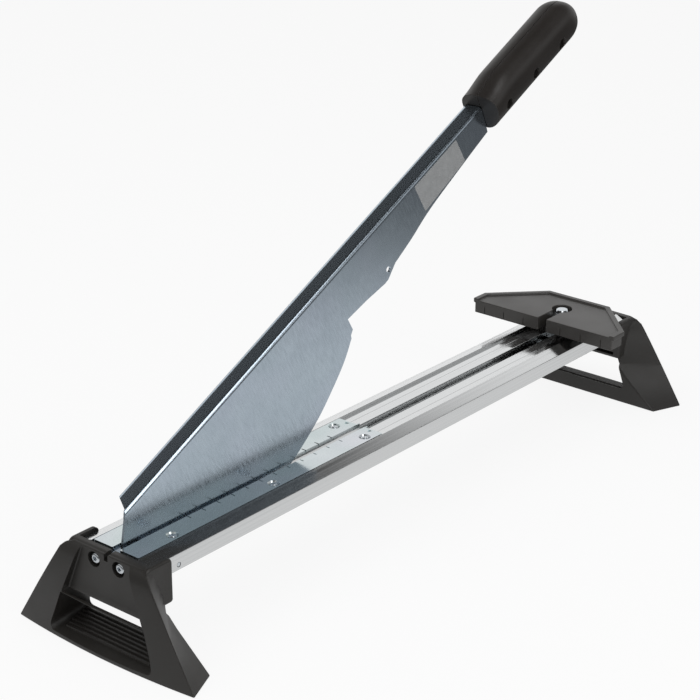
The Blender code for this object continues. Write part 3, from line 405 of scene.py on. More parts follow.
def makeRail():
    s = railShape
    half = railHigh.y / mm
    bottom, crest = railLow.z / mm, railHigh.z / mm
    wall = s["channelHalf"] + s["channelWall"]
    edge = s["edge"]
    guide, wide, deep = s["guideLineY"], s["guideLineWidth"] / 2, s["guideLineDepth"]
    right = [
        (s["slotHalf"], s["seatTop"], edge),
        (guide - wide, s["seatTop"], 0), (guide, s["seatTop"] - deep, 0), (guide + wide, s["seatTop"], 0),
        (s["crestY"], s["seatTop"], 0.2), (s["crestY"], crest, edge), (half, s["sideTop"], s["shoulderEdge"]),
        (half, bottom, edge), (half - s["legThickness"], bottom, edge),
        (half - s["legThickness"], s["webBottom"], 0.8), (s["bossOuterY"], s["webBottom"], 0.8),
        (s["bossOuterY"], s["bossBottom"], edge), (wall, s["bossBottom"] + 0.2, 0.5),
        (wall, s["channelFloor"] - s["channelWall"], edge),
    ]
    channel = [
        (s["channelHalf"], s["channelFloor"], 0.5), (s["channelHalf"], s["channelTop"], 0.5),
        (s["slotHalf"], s["channelTop"], 0.2),
    ]
    mirrored = [(-y, z, radius) for y, z, radius in reversed(right)]
    outline = right + mirrored + [(-y, z, radius) for y, z, radius in reversed(channel)] + channel
    holes = [ring(side * s["screwChannelY"], s["screwChannelZ"], s["screwChannelRadius"]) for side in (-1, 1)]
    length = (railHigh.x - railLow.x) / mm
    rail = flatShape("railExtrusion", [roundedCorners(outline, 4), *holes], length, acrossRail)
    start = railLow.x / mm - 2
    for label, end, room, top in (
        ("slotWindow", s["windowEndX"], s["slotHalf"], s["windowTop"]),
        ("spacerWindow", s["spacerWindowEndX"], s["channelHalf"] - s["cutOver"], s["channelFloor"] + s["cutOver"]),
    ):
        combine(rail, block(label, (start, -room, s["cutBottom"]), (end, room, top)))
    x, z = pivot.x / mm, pivot.z / mm
    inner = half - s["legThickness"] - 0.2
    combine(rail, rod("pinBore", (x, -inner, z), (x, inner, z), s["pinBoreRadius"]))
    combine(rail, rod("pinEndBore", (x, -half - 2, z), (x, half + 2, z), s["pinEndRadius"]))
    smooth(rail, 24)
    finishPiece(rail, aluminium, "base", "bright_aluminium", "rail")


makeRail()
print("laminate cutter: rail made")

# support plates, with stamped ticks along the slot, pits for the rivets and a pointer near the end

plateShape = {
    "thickness": 1.9, "edge": 0.25, "cornerRadius": 0.8, "tickPitch": 14.0, "firstTickX": -214.7, "tickCount": 12,
    "tickLength": 3.6, "tickWidth": 0.9, "tickDepth": 1.3, "pitTopRadius": 4.4, "pitBottomRadius": 2.7,
    "pitDepth": 2.5, "rivetX": (-239.5, -142.0, -44.4), "rivetY": 14.2, "pointerX": -36.8, "pointerY": 10.6,
    "pointerLength": 3.4, "pointerHalfWidth": 1.9, "pointerDepth": 0.8, "tabReach": 3, "tabOverlap": 5,
    "tabWidth": 0.9, "tabHigh": 0.2, "tabLow": 3.5, "tabEdge": 0.2,
}


def makePlate(name, side):
    s = plateShape
    low, high = (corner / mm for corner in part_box(f"{name}_support_plate"))
    inner, outer = -plateHigh.y / mm, -plateLow.y / mm
    end, top = high.x - s["tabReach"], high.z
    corners = ((low.x, inner), (end, inner), (end, outer), (low.x, outer))
    outline = roundedCorners([(x, side * y, s["cornerRadius"]) for x, y in corners], 4)
    place = shift(0, 0, top - s["thickness"] / 2)
    plate = flatShape(f"supportPlate{name.title()}", [outline], s["thickness"], place)
    for rivetX in s["rivetX"]:
        spot = (rivetX, side * s["rivetY"])
        bottom, rim = (*spot, top - s["pitDepth"]), (*spot, top + 0.1)
        combine(plate, rod("pit", bottom, rim, s["pitBottomRadius"], 36, s["pitTopRadius"]))
    for tick in range(s["tickCount"]):
        tickX = s["firstTickX"] + tick * s["tickPitch"]
        reach = sorted((side * (inner - 1), side * (inner + s["tickLength"])))
        combine(plate, block(
            "tick", (tickX - s["tickWidth"] / 2, reach[0], top - s["tickDepth"]),
            (tickX + s["tickWidth"] / 2, reach[1], top + 1),
        ))
    across, broadX, wide = side * s["pointerY"], s["pointerX"] + s["pointerLength"], s["pointerHalfWidth"]
    pointer = [(s["pointerX"], across), (broadX, across - wide), (broadX, across + wide)]
    combine(plate, flatShape("pointer", [pointer], 2, shift(0, 0, top + 1 - s["pointerDepth"])))
    tabSide = sorted((side * inner, side * (inner + s["tabWidth"])))
    tabStart = (end - s["tabOverlap"], tabSide[0], top - s["tabLow"])
    tab = block("tab", tabStart, (high.x, tabSide[1], top - s["tabHigh"]))
    roundEdges(tab, s["tabEdge"])
    combine(plate, tab, "UNION")
    roundEdges(plate, s["edge"], 50, 2)
    smooth(plate, 30)
    finishPiece(plate, plateSteel, "base", "galvanised_steel", f"{name}_support_plate")


makePlate("left", 1)
makePlate("right", -1)
print("laminate cutter: support plates made")

# rivets, cold headed: a low dome on a flared collar, sunk in its pit

rivetShape = {
    "headRadius": 2.75, "domeRadius": 1.9, "headHeight": 1.15, "collarTop": 0.45, "collarEdge": 0.3, "domeBase": 0.8,
    "domeEdge": 0.75, "dimpleDepth": 0.35, "dimpleRadius": 1.1, "shankRadius": 1.6, "sunk": 0.15,
}


def makeRivets():
    s = rivetShape
    top = plateHigh.z / mm - s["sunk"]
    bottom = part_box("plate_rivet_left_1")[0].z / mm
    x, y = plateShape["rivetX"][0], plateShape["rivetY"]
    neck = top - s["headHeight"]
    pattern = rod("rivetPattern", (x, y, neck), (x, y, top - s["collarTop"]), s["headRadius"], 40)
    roundEdges(pattern, s["collarEdge"], 40, 4)
    dome = rod("dome", (x, y, top - s["domeBase"]), (x, y, top), s["domeRadius"], 40)
    roundEdges(dome, s["domeEdge"], 40, 6)
    combine(pattern, dome, "UNION")
    dimple = (x, y, top - s["dimpleDepth"])
    combine(pattern, rod("dimple", dimple, (x, y, top + 0.3), 0.2, 24, s["dimpleRadius"]))
    combine(pattern, rod("shank", (x, y, bottom), (x, y, neck + 0.3), s["shankRadius"], 32), "UNION")
    smooth(pattern, 40)
    for side, label in ((1, "left"), (-1, "right")):
        for number, rivetX in enumerate(plateShape["rivetX"], 1):
            rivet = copyOf(pattern, f"plateRivet{label.title()}{number}", shift(rivetX - x, side * y - y, 0))
            finishPiece(rivet, zinc, "base", "zinc_plated_steel", f"plate_rivet_{label}_{number}")
    bpy.data.objects.remove(pattern, do_unlink=True)


makeRivets()
print("laminate cutter: rivets made")

# feet, one moulding each: splayed legs with a bowed front, a face panel set back between them, a window over a
# ribbed tray, and behind the panel a block with the rail's pocket between two cheeks

footShape = {
    "outerX": 290.8, "frontBow": 4.9, "topLean": 7.2, "innerX": 264.8, "top": 70.0, "baseHalf": 80.6,
    "shoulderStart": 60.0, "shoulderFall": 3.6, "levels": (6, 12, 18, 24, 30, 33, 40, 48, 54, 60, 64, 67.5),
    "columns": 16, "softEdge": 1.1, "edge": 0.5, "cheekInnerX": 261.0, "cheekOuterX": 285.4, "cheekHalf": 35.6,
    "cheekBottom": 39.0, "cheekTop": 70.5, "cheekEdge": 2.0, "railGap": 0.3, "panelX": 285.0, "panelBottom": 34.2,
    "panelTopHalf": 22.0, "panelTopNarrow": 2.5, "panelBottomHalf": 37.0, "panelEdge": 1.0, "windowX": 278,
    "windowDeep": 60, "windowTopHalf": 35.2, "windowBottomHalf": 44.6, "windowTaper": 0.107, "windowCorner": 5.0,
    "trayFrontZ": 4.2, "trayRearZ": 12.0, "ribCount": 7, "ribHeight": 1.3, "ribHalfWidth": 0.8, "ribEdge": 0.5,
    "ribShort": 6.5, "ribSpread": 2.2, "rearSlotCount": 3, "rearSlotHeight": 2.6, "rearSlotDepth": 7.0,
    "rearSlotHalf": 30.5, "rearSlotEdge": 0.6, "screwY": 11.0, "screwZ": 63.2, "screwSeatX": 281.2,
    "counterboreRadius": 5.4, "screwHoleRadius": 1.9, "slitHalf": 1.7, "slitBottom": 65.4, "slitDeepBottom": 38.0,
    "slitDeepX": 280.0,
}
# half the foot's width at each height, at its front edge and along its back
legOutline = {
    "front": ((0, 80.6), (30, 62.3), (48, 51.0), (60, 43.2), (64, 40.9), (67.5, 37.2), (70, 31)),
    "rear": ((0, 69.8), (24, 40.8), (33, 31.7), (48, 30), (60, 28.6), (64, 28.2), (67.5, 27.4), (70, 25)),
}


def legHalf(z, face):
    points = legOutline[face]
    for (lowZ, lowY), (highZ, highY) in zip(points, points[1:]):
        if z <= highZ + 0.01:
            return lowY + (highY - lowY) * (z - lowZ) / (highZ - lowZ)
    return points[-1][1]


def footFrontX(y, z):
    s = footShape
    fall = s["shoulderFall"] * max(0, (z - s["shoulderStart"]) / (s["top"] - s["shoulderStart"])) ** 2
    return s["outerX"] + s["frontBow"] * (1 - (y / s["baseHalf"]) ** 2) - s["topLean"] * z / s["top"] - fall


def makeFoot(name, end):
    s = footShape
    foot = block(name, (-10, -10, 0), (10, 10, s["top"]))
    setMode("EDIT")
    for level in s["levels"]:
        cutThrough((0, 0, level), (0, 0, 1))
    for column in range(1, s["columns"]):
        cutThrough((0, (column * 2 / s["columns"] - 1) * 10, 0), (0, 1, 0))
    setMode("OBJECT")
    for vertex in foot.data.vertices:
        z = vertex.co.z / mm
        share = vertex.co.y / (10 * mm)
        front = vertex.co.x * end > 0
        y = share * legHalf(z, "front" if front else "rear")
        vertex.co = Vector((end * (footFrontX(y, z) if front else s["innerX"]) * mm, y * mm, z * mm))

    def span(label, lowX, highX, lowY, highY, lowZ, highZ):
        xs = sorted((end * lowX, end * highX))
        return block(label, (xs[0], lowY, lowZ), (xs[1], highY, highZ))

    roundEdges(foot, s["softEdge"], 28, 4)
    cheekLine = [
        (end * s["cheekInnerX"], s["cheekBottom"], 2.5), (end * s["cheekOuterX"], s["cheekBottom"], 2.5),
        (end * s["cheekOuterX"], s["cheekTop"], 5), (end * s["cheekInnerX"], s["cheekTop"], 3.5),
    ][::end]
    cheeks = flatShape("cheeks", [roundedCorners(cheekLine)], s["cheekHalf"] * 2, inLever)
    roundEdges(cheeks, s["cheekEdge"], 50, 5)
    combine(foot, cheeks, "UNION")
    railRoom, railEnd = railHigh.y / mm + s["railGap"], railHigh.x / mm + s["railGap"]
    combine(foot, span("railRoom", 250, railEnd, -railRoom, railRoom, railLow.z / mm - s["railGap"], 90))
    slotPitch = (railLow.z / mm - s["cheekBottom"]) / (s["rearSlotCount"] + 0.8)
    slotHalf, slotEndX, tall = s["rearSlotHalf"], s["cheekInnerX"] + s["rearSlotDepth"], s["rearSlotHeight"] / 2
    for number in range(s["rearSlotCount"]):
        middle = s["cheekBottom"] + slotPitch * (number + 0.9)
        slot = span("rearSlot", 250, slotEndX, -slotHalf, slotHalf, middle - tall, middle + tall)
        combine(foot, roundEdges(slot, s["rearSlotEdge"], 40, 2))

    highHalf, above, lowHalf, below = (
        s["panelTopHalf"] - s["panelTopNarrow"], s["top"] + 5, s["panelBottomHalf"], s["panelBottom"] - 1,
    )
    panel = [(-highHalf, above), (highHalf, above), (lowHalf, below), (-lowHalf, below)]
    recess = flatShape("panelRecess", [panel], 20, acrossRail)
    placeBy(recess, shift(end * (s["panelX"] + 10), 0, 0))
    combine(foot, roundEdges(recess, s["panelEdge"], 40, 3))

    slope = (s["windowBottomHalf"] - s["windowTopHalf"]) / (s["panelBottom"] - s["trayFrontZ"])
    lowHalf = s["windowTopHalf"] + slope * (s["panelBottom"] + 10)
    highHalf = s["windowTopHalf"] - slope * 20
    above, deep = s["panelBottom"] + 20, s["windowDeep"]
    opening = [(-lowHalf, -10), (lowHalf, -10), (highHalf, above), (-highHalf, above)]
    window = flatShape("window", [opening], deep, acrossRail)
    for vertex in window.data.vertices:
        vertex.co.y *= 1 + s["windowTaper"] * end * vertex.co.x / (deep / 2 * mm)
    placeBy(window, shift(end * s["windowX"], 0, 0))
    trayRise = (s["trayRearZ"] - s["trayFrontZ"]) / (s["outerX"] - s["innerX"])
    roofRise = (s["cheekBottom"] - s["panelBottom"]) / (s["panelX"] - s["cheekInnerX"])
    trayLift = s["trayFrontZ"] + trayRise * (s["outerX"] - s["windowX"])
    roofLift = s["panelBottom"] + roofRise * (s["panelX"] - s["windowX"])
    for label, low, high, lift, rise in (("tray", -40, 0, trayLift, trayRise), ("roof", 0, 60, roofLift, roofRise)):
        slab = block(label, (-60, -90, low), (60, 90, high))
        lean = Matrix.Rotation(end * math.atan(rise), 4, "Y")
        combine(window, placeBy(slab, shift(end * s["windowX"], 0, lift) @ lean))
    lowEdges = s["panelBottom"] / 2 + 8
    roundChosen(window, lambda a, b: max(a.z, b.z) < lowEdges and abs(a.x - b.x) > 20, s["windowCorner"], 6)
    combine(foot, window)

    pitch = (s["outerX"] - s["innerX"] - 5) / s["ribCount"]
    for number in range(s["ribCount"]):
        x = s["innerX"] + 2.5 + pitch * (number + 0.5)
        z = s["trayFrontZ"] + trayRise * (s["outerX"] - x)
        ribHalf = s["windowBottomHalf"] - s["ribShort"] + s["ribSpread"] * (1 - number / s["ribCount"])
        wide = s["ribHalfWidth"]
        rib = span("rib", x - wide, x + wide, -ribHalf, ribHalf, z - 2, z + s["ribHeight"])
        combine(foot, roundEdges(rib, s["ribEdge"], 40, 2), "UNION")
    for side in (-1, 1):
        spot = (side * s["screwY"], s["screwZ"])
        for label, low, high, radius, sides in (
            ("counterbore", s["screwSeatX"], 299, s["counterboreRadius"], 40),
            ("screwHole", 270, 282, s["screwHoleRadius"], 20),
        ):
            combine(foot, rod(label, (end * low, *spot), (end * high, *spot), radius, sides))
    if end < 0:
        half = s["slitHalf"]
        combine(foot, span("slit", 270, 300, -half, half, s["slitBottom"], 90))
        combine(foot, span("slitDeep", 250, s["slitDeepX"], -half, half, s["slitDeepBottom"], 80))
    roundEdges(foot, s["edge"], 40, 2)
    smooth(foot, 30)
    node = "near_foot" if end < 0 else "far_foot"
    finishPiece(foot, footPlastic, "base", "black_moulded_plastic", node)


makeFoot("nearFoot", -1)
makeFoot("farFoot", 1)
print("laminate cutter: feet made")

# foot screws: pan heads with a six-lobed socket

screwShape = {
    "seatGap": 0.3, "headRadius": 4.1, "headHeight": 2.7, "headRound": 2.1, "shankRadius": 1.6, "pointLength": 1.5,
    "pointRadius": 0.3, "socketRadius": 1.95, "socketDepth": 1.5,
}


def sixLobes(radius, depthShare=0.16, steps=60):
    line = []
    for step in range(steps):
        angle = 2 * math.pi * step / steps
        reach = radius * (1 - depthShare + depthShare * math.cos(6 * angle))
        line.append((reach * math.cos(angle), reach * math.sin(angle)))
    return line


def makeFootScrews():
    s = screwShape
    seat = footShape["screwSeatX"] + s["seatGap"]
    spot = (footShape["screwY"], footShape["screwZ"])
    pattern = rod("screwPattern", (seat, *spot), (seat + s["headHeight"], *spot), s["headRadius"], 48)
    roundChosen(pattern, lambda a, b: min(a.x, b.x) > seat + 0.1, s["headRound"], 8)
    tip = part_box("far_foot_screw_left")[0].x / mm
    neck = (tip + s["pointLength"], *spot)
    combine(pattern, rod("shank", neck, (seat + 0.5, *spot), s["shankRadius"], 24), "UNION")
    neck = (neck[0] + 0.1, *spot)
    combine(pattern, rod("point", (tip, *spot), neck, s["pointRadius"], 24, s["shankRadius"] - 0.02), "UNION")
    socket = flatShape("socket", [sixLobes(s["socketRadius"])], 3, acrossRail)
    placeBy(socket, shift(seat + s["headHeight"] - s["socketDepth"] + 1.5, *spot))
    combine(pattern, socket)
    smooth(pattern, 35)
    for footName, end in (("near", -1), ("far", 1)):
        turn = Matrix.Rotation(0 if end > 0 else math.pi, 4, "Z")
        for sideName, side in (("left", 1), ("right", -1)):
            move = shift(0, (side - end) * spot[0], 0) @ turn
            screw = copyOf(pattern, f"{footName}FootScrew{sideName.title()}", move)
            finishPiece(screw, zinc, "base", "zinc_plated_steel", f"{footName}_foot_screw_{sideName}")
    bpy.data.objects.remove(pattern, do_unlink=True)


makeFootScrews()
print("laminate cutter: foot screws made")

# blade lever: one folded sheet, drawn flat along the lever and then turned up about the pivot

leverShape = {
    "sheet": 1.8, "sheetTop": 33.8, "top": 37.0, "bend": 2.6, "outerBend": 4.5, "flangeOuterY": 15.0, "lip": 8.0,
    "gripStart": 416.5, "tangEnd": 530, "tangBottom": 20.5, "tangFlangeY": 8.5, "tangHoleRadius": 1.7,
    "pivotHole": 3.3, "hangHole": (277.7, -1.6), "hangHoleRadius": 2.4, "edge": 0.3,
}
gripShape = {
    "start": 416.5, "end": 536.5, "middleW": 35.8, "rise": 11.6, "riseFar": 16.0, "drop": 18.3, "dropFar": 16.7,
    "halfWidth": 16.3, "halfWidthFar": 17.0, "swell": 26.0, "close": 17.0, "tip": 0.36, "tipPower": 1.9,
    "sidePower": 0.82, "upPower": 0.86, "narrow": 0.30, "screwU": (431.7, 468.4, 505.0), "screwW": 31.0,
    "boreRadius": 3.4, "rimRadius": 5.4, "rimOuterY": -17.2, "rimInnerY": -13.2, "screwSeatY": -9.0,
    "shankHoleRadius": 1.7, "seamGap": 0.15, "seamEdge": 0.55, "tangGap": 0.3,
}


def smoothLine(points, steps):
    padded = [points[0], *points, points[-1]]
    line = []
    for index in range(len(points) - 1):
        before, start, end, after = (Vector(p) for p in padded[index:index + 4])
        for step in range(steps):
            t = step / steps
            line.append(tuple(0.5 * (
                2 * start + (end - before) * t + (2 * before - 5 * start + 4 * end - after) * t ** 2
                + (3 * start - before - 3 * end + after) * t ** 3
            )))
    line.append(tuple(points[-1]))
    return line


def arc(centre, radius, first, last, steps):
    angles = [math.radians(first + (last - first) * step / steps) for step in range(steps + 1)]
    return [(centre[0] + radius * math.cos(a), centre[1] + radius * math.sin(a)) for a in angles]


def foldSection(outerY, lip, top, inset):
    s = leverShape
    innerY = -s["sheet"] / 2 + inset
    thick = s["sheet"] - 2 * inset
    bend, outerBend = s["bend"], s["outerBend"]
    outside = arc((innerY + bend, top - bend), bend, 180, 90, 12)
    inside = arc((innerY + bend, top - bend), bend - thick, 90, 180, 6)
    foot = top - 8
    if lip > 0:
        centre = (outerY - outerBend, top - outerBend)
        farSide = arc(centre, outerBend, 90, 0, 12) + [(outerY, top - lip), (outerY - thick, top - lip)]
        farSide += arc(centre, outerBend - thick, 0, 90, 8)
    else:
        farSide = [(outerY, top), (outerY, top - thick)]
    return [(innerY, foot), *outside, *farSide, *inside, (innerY + thick, foot)]


def turnUp(piece):
    return placeBy(piece, Matrix.Translation(pivot) @ Matrix.Rotation(-math.radians(leverDegrees), 4, "Y"))


def makeBlade():
    s = leverShape
    start = s["gripStart"]
    cuttingEdge = smoothLine([
        (21, -35), (61, -51.5), (101, -57.5), (131, -55.7), (166, -48), (192, -37.8), (210, -28.7), (223, -19.2),
    ], 8)
    belly = smoothLine([(286, -2.5), (309, 1.2), (336, 6.8), (385, 11.8), (start - 1, 14.4)], 6)
    outline = [
        *roundedCorners([(-0.6, s["sheetTop"], 0), (-13.7, 16.3, 3), (-16.7, 6.7, 0)])[:-1],
        *arc((0, 0), 18, 158, 235, 10), (5, -25), *cuttingEdge, (223.5, -16.8), (227.1, -14.2), (226.3, -3.4),
        (248, -5.4), (270, -8.7), (274.4, -8.4), *belly, (start - 0.5, s["tangBottom"]),
        (s["tangEnd"], s["tangBottom"]), (s["tangEnd"], s["sheetTop"]),
    ]
    holes = [ring(0, 0, s["pivotHole"], 32), ring(*s["hangHole"], s["hangHoleRadius"], 32)]
    blade = flatShape("bladeLever", [outline, *holes], s["sheet"], inLever)
    for label, section, low, high in (
        ("fold", foldSection(s["flangeOuterY"], s["lip"], s["top"], 0.02), -1.5, start - 0.6),
        ("tangFold", foldSection(s["tangFlangeY"], 0, s["top"] - 0.1, 0.05), start - 2, s["tangEnd"] - 0.5),
    ):
        part = flatShape(label, [section], high - low, acrossRail)
        placeBy(part, shift((low + high) / 2, 0, 0))
        combine(blade, part, "UNION")
    endCut = flatShape("endCut", [[(-40, 15.8), (-14.3, 15.8), (2.5, 38.4), (-40, 38.4)]], 60, inLever)
    combine(blade, endCut)
    nearY, farY = s["sheet"] / 2 + 0.1, s["flangeOuterY"] + 0.5
    slantLine = [(-25, nearY), (2.2, nearY), (11.3, farY), (11.3, 30), (-25, 30)]
    combine(blade, flatShape("slantCut", [slantLine], 40, shift(0, 0, s["top"] + 20 - s["lip"] - 1)))
    for x in gripShape["screwU"]:
        z = gripShape["screwW"]
        combine(blade, rod("tangHole", (x, -5, z), (x, 5, z), s["tangHoleRadius"], 24))
    roundEdges(blade, s["edge"], 50, 2)
    smooth(blade, 30)
    turnUp(blade)
    finishPiece(blade, leverSteelPaintedDarker, "lever", "galvanised_steel", "blade_lever")


makeBlade()
print("laminate cutter: blade made")

# label: plain film laid on the sheet

labelShape = {
    "uLow": 330, "uHigh": 384, "wLow": (9.0, 12.4), "wHigh": 34.2, "lean": 2.6, "corner": 1.2, "thickness": 0.12,
    "gap": 0.02,
}


def makeLabel():
    s = labelShape
    nearU, farU, lean = s["uLow"], s["uHigh"], s["lean"]
    corners = [(nearU, s["wLow"][0]), (farU, s["wLow"][1]), (farU - lean, s["wHigh"]), (nearU - lean, s["wHigh"])]
    outline = roundedCorners([(u, w, s["corner"]) for u, w in corners])
    away = -(leverShape["sheet"] / 2 + s["gap"] + s["thickness"] / 2)
    label = flatShape("bareLabel", [outline], s["thickness"], shift(0, away, 0) @ inLever)
    smooth(label, 30)
    turnUp(label)
    finishPiece(label, film, "lever", "silver_label_film", "lever_label")


makeLabel()

# grip: two mouldings that meet along the top, egg-shaped in section and rounded at the far end


def gripPoint(angle, along):
    s = gripShape
    length = s["end"] - s["start"]
    share = along / length
    swell = min(1.0, along / s["swell"])
    swell = swell * swell * (3 - 2 * swell)
    rise = s["rise"] + (s["riseFar"] - s["rise"]) * swell
    drop = s["drop"] + (s["dropFar"] - s["drop"]) * share
    halfWidth = s["halfWidth"] + (s["halfWidthFar"] - s["halfWidth"]) * share
    left = max(0.0, length - along)
    close, tip = s["close"], s["tip"]
    scale = 1.0 if left > close else tip + (1 - tip) * (1 - (1 - left / close) ** s["tipPower"]) ** 0.5
    side, up = math.cos(angle), math.sin(angle)
    height = rise if up > 0 else drop
    narrow = 1.0 if up > 0 else 1.0 - s["narrow"] * up ** 2
    y = halfWidth * scale * narrow * math.copysign(abs(side) ** s["sidePower"], side)
    w = s["middleW"] + height * scale * math.copysign(abs(up) ** s["upPower"], up)
    return y, w


def makeGripHalf(name, side):
    s = gripShape
    length = s["end"] - s["start"]
    deselectAll()
    bpy.ops.mesh.primitive_cylinder_add(
        vertices=96, radius=10 * mm, depth=length * mm, end_fill_type="NGON", rotation=(0, math.pi / 2, 0),
    )
    half = bpy.context.active_object
    half.name = name
    applyPlace()
    setMode("EDIT")
    stations = [length * i / 22 for i in range(1, 19)]
    stations += [length - s["close"] * (1 - math.sin(math.radians(a))) for a in range(3, 88, 7)]
    for station in stations:
        cutThrough((station - length / 2, 0, 0), (1, 0, 0))
    setMode("OBJECT")
    for vertex in half.data.vertices:
        along = vertex.co.x / mm + length / 2
        y, w = gripPoint(math.atan2(vertex.co.z, vertex.co.y), along)
        vertex.co = Vector(((s["start"] + along) * mm, y * mm, w * mm))
    pick(half)
    setMode("EDIT")
    cutThrough((0, side * s["seamGap"], 0), (0, side, 0), use_fill=True, clear_inner=True)
    bpy.ops.mesh.select_all(action="SELECT")
    bpy.ops.mesh.normals_make_consistent(inside=False)
    setMode("OBJECT")
    roundEdges(half, s["seamEdge"], 55, 3)
    gap = s["tangGap"]
    room, bottom = leverShape["sheet"] / 2 + gap, leverShape["tangBottom"] - gap
    end, flangeY, top = leverShape["tangEnd"] + gap, leverShape["tangFlangeY"] + gap, leverShape["top"] + gap
    combine(half, block("tangRoom", (400, -room, bottom), (end, room, top)))
    if side > 0:
        combine(half, block("flangeRoom", (400, 0, leverShape["top"] - 6 - gap), (end, flangeY, top)))
    w, bore = s["screwW"], s["boreRadius"]
    for u in s["screwU"]:
        if side < 0:
            combine(half, rod("headBore", (u, s["screwSeatY"], w), (u, -40, w), bore, 32))
            inside, outside = (u, s["rimInnerY"], w), (u, s["rimOuterY"], w)
            combine(half, rod("boreRim", inside, outside, bore - 0.6, 32, s["rimRadius"]))
        combine(half, rod("shankHole", (u, -20, w), (u, 11, w), s["shankHoleRadius"], 16))
    smooth(half, 35)
    turnUp(half)
    label = "left" if side > 0 else "right"
    finishPiece(half, gripPlastic, "lever", "black_moulded_plastic", f"grip_{label}_half")


makeGripHalf("gripLeftHalf", 1)
makeGripHalf("gripRightHalf", -1)
print("laminate cutter: grip made")

# fence: a moulded plate with a slit for the blade, a raised rim that overhangs its back, and grooves down its front

fenceShape = {
    "front": -29.4, "sideBack": -13.6, "back": 25.8, "half": 68.0, "backHalf": 29.4, "bottom": 74.4, "top": 85.2,
    "rimTop": 86.5, "rimBottom": 82.8, "rimWidth": 4.6, "overhang": 1.8, "wall": 3.0, "slitHalf": 3.9,
    "recessRadius": 8.2, "recessFloor": 78.6, "floorOverlap": 0.8, "boltHole": 3.3, "pocketY": 16, "pocketX": -13,
    "pocketTop": 81.9, "grooveY": (18.0, 37.3, 56.3), "grooveWidth": 0.8, "grooveDepth": 0.5, "grooveTop": 81.2,
    "edge": 0.6,
}


def fenceBackLine(inset, radius):
    # the outline behind the front, from the left side round the back to the right side
    s = fenceShape
    half, backHalf = s["half"] - inset, s["backHalf"] - inset * 0.4
    left = [(s["sideBack"] - inset * 0.4, half, radius), (s["back"] - inset, backHalf, radius)]
    return left + [(x, -y, r) for x, y, r in reversed(left)]


def makeFence():
    s = fenceShape
    front, slit, radius = s["front"], s["slitHalf"], s["recessRadius"]
    mouth = math.degrees(math.asin(slit / radius))
    recess = [(x, y, 0) for x, y in arc((0, 0), radius, mouth - 180 + 3, 180 - mouth - 3, 48)]
    meetX = -math.sqrt(radius ** 2 - slit ** 2) - 0.6
    outline = roundedCorners([
        (front, slit, 1.6), (front, s["half"], 1.0), *fenceBackLine(0, 1.6), (front, -s["half"], 1.0),
        (front, -slit, 1.4), (meetX, -slit, 0), *recess, (meetX, slit, 0),
    ])
    tall = s["rimTop"] - s["bottom"]
    plate = flatShape("fencePlate", [outline], tall, shift(0, 0, s["bottom"] + tall / 2))
    inner, outer, reach = s["half"] - s["rimWidth"], s["half"] - s["overhang"], s["half"] + 10
    before, behind = front - 5, s["back"] + 10
    topLine = [(before, inner, 0), *fenceBackLine(s["rimWidth"], 1.4), (before, -inner, 0)]
    combine(plate, flatShape("insideRim", [roundedCorners(topLine)], 20, shift(0, 0, s["top"] + 10)))
    skirt = roundedCorners([
        (before, outer, 0), *fenceBackLine(s["overhang"], 1.4), (before, -outer, 0), (before, -reach, 0),
        (behind, -reach, 0), (behind, reach, 0), (before, reach, 0),
    ])
    combine(plate, flatShape("underRim", [skirt], 20, shift(0, 0, s["rimBottom"] - 10)))
    roundEdges(plate, s["edge"], 50, 3)
    wall, inset = s["wall"], s["wall"] + s["overhang"]
    sideY, backX, backY = s["half"] - inset, s["back"] - inset, s["backHalf"] - inset * 0.4
    pocket = [
        (front + wall, slit + wall), (front + wall, sideY), (s["sideBack"] - inset * 0.4, sideY), (backX, backY),
        (backX, s["pocketY"]), (0, s["pocketY"]), (s["pocketX"], slit + wall),
    ]
    for side in (-1, 1):
        pocketLine = roundedCorners([(x, side * y, 1) for x, y in pocket])
        combine(plate, flatShape("pocket", [pocketLine], 10, shift(0, 0, s["pocketTop"] - 5)))
        for grooveY in s["grooveY"]:
            low, high = side * grooveY - s["grooveWidth"] / 2, side * grooveY + s["grooveWidth"] / 2
            ends = (front - 1, low, s["bottom"] - 1), (front + s["grooveDepth"], high, s["grooveTop"])
            combine(plate, block("groove", *ends))
    floorTop, over = s["recessFloor"], s["floorOverlap"]
    floor = rod("recessFloor", (0, 0, s["bottom"] + over), (0, 0, floorTop), radius + over, 64)
    combine(floor, rod("boltHole", (0, 0, s["bottom"] - 5), (0, 0, floorTop + 2), s["boltHole"], 32))
    combine(floor, block("slitFloor", (-20, -slit, s["bottom"] - 5), (0, slit, s["top"])))
    combine(plate, floor, "UNION")
    smooth(plate, 30)
    placeBy(plate, Matrix.Translation((clampPoint.x, 0, 0)))
    finishPiece(plate, fencePlasticPaintedLighter, "fence", "black_moulded_plastic", "fence_plate")


makeFence()

# clamp bolt: a hexagon head with a turned flange and a chamfered crown

boltShape = {
    "seatGap": 0.3, "headHalf": 4.7, "headHeight": 4.2, "crownHeight": 3.5, "crownSpread": 3.2, "crownTop": 0.6,
    "flangeRadius": 6.9, "flangeHeight": 1.5, "flangeEdge": 0.25, "shankRadius": 3.0, "edge": 0.15,
}


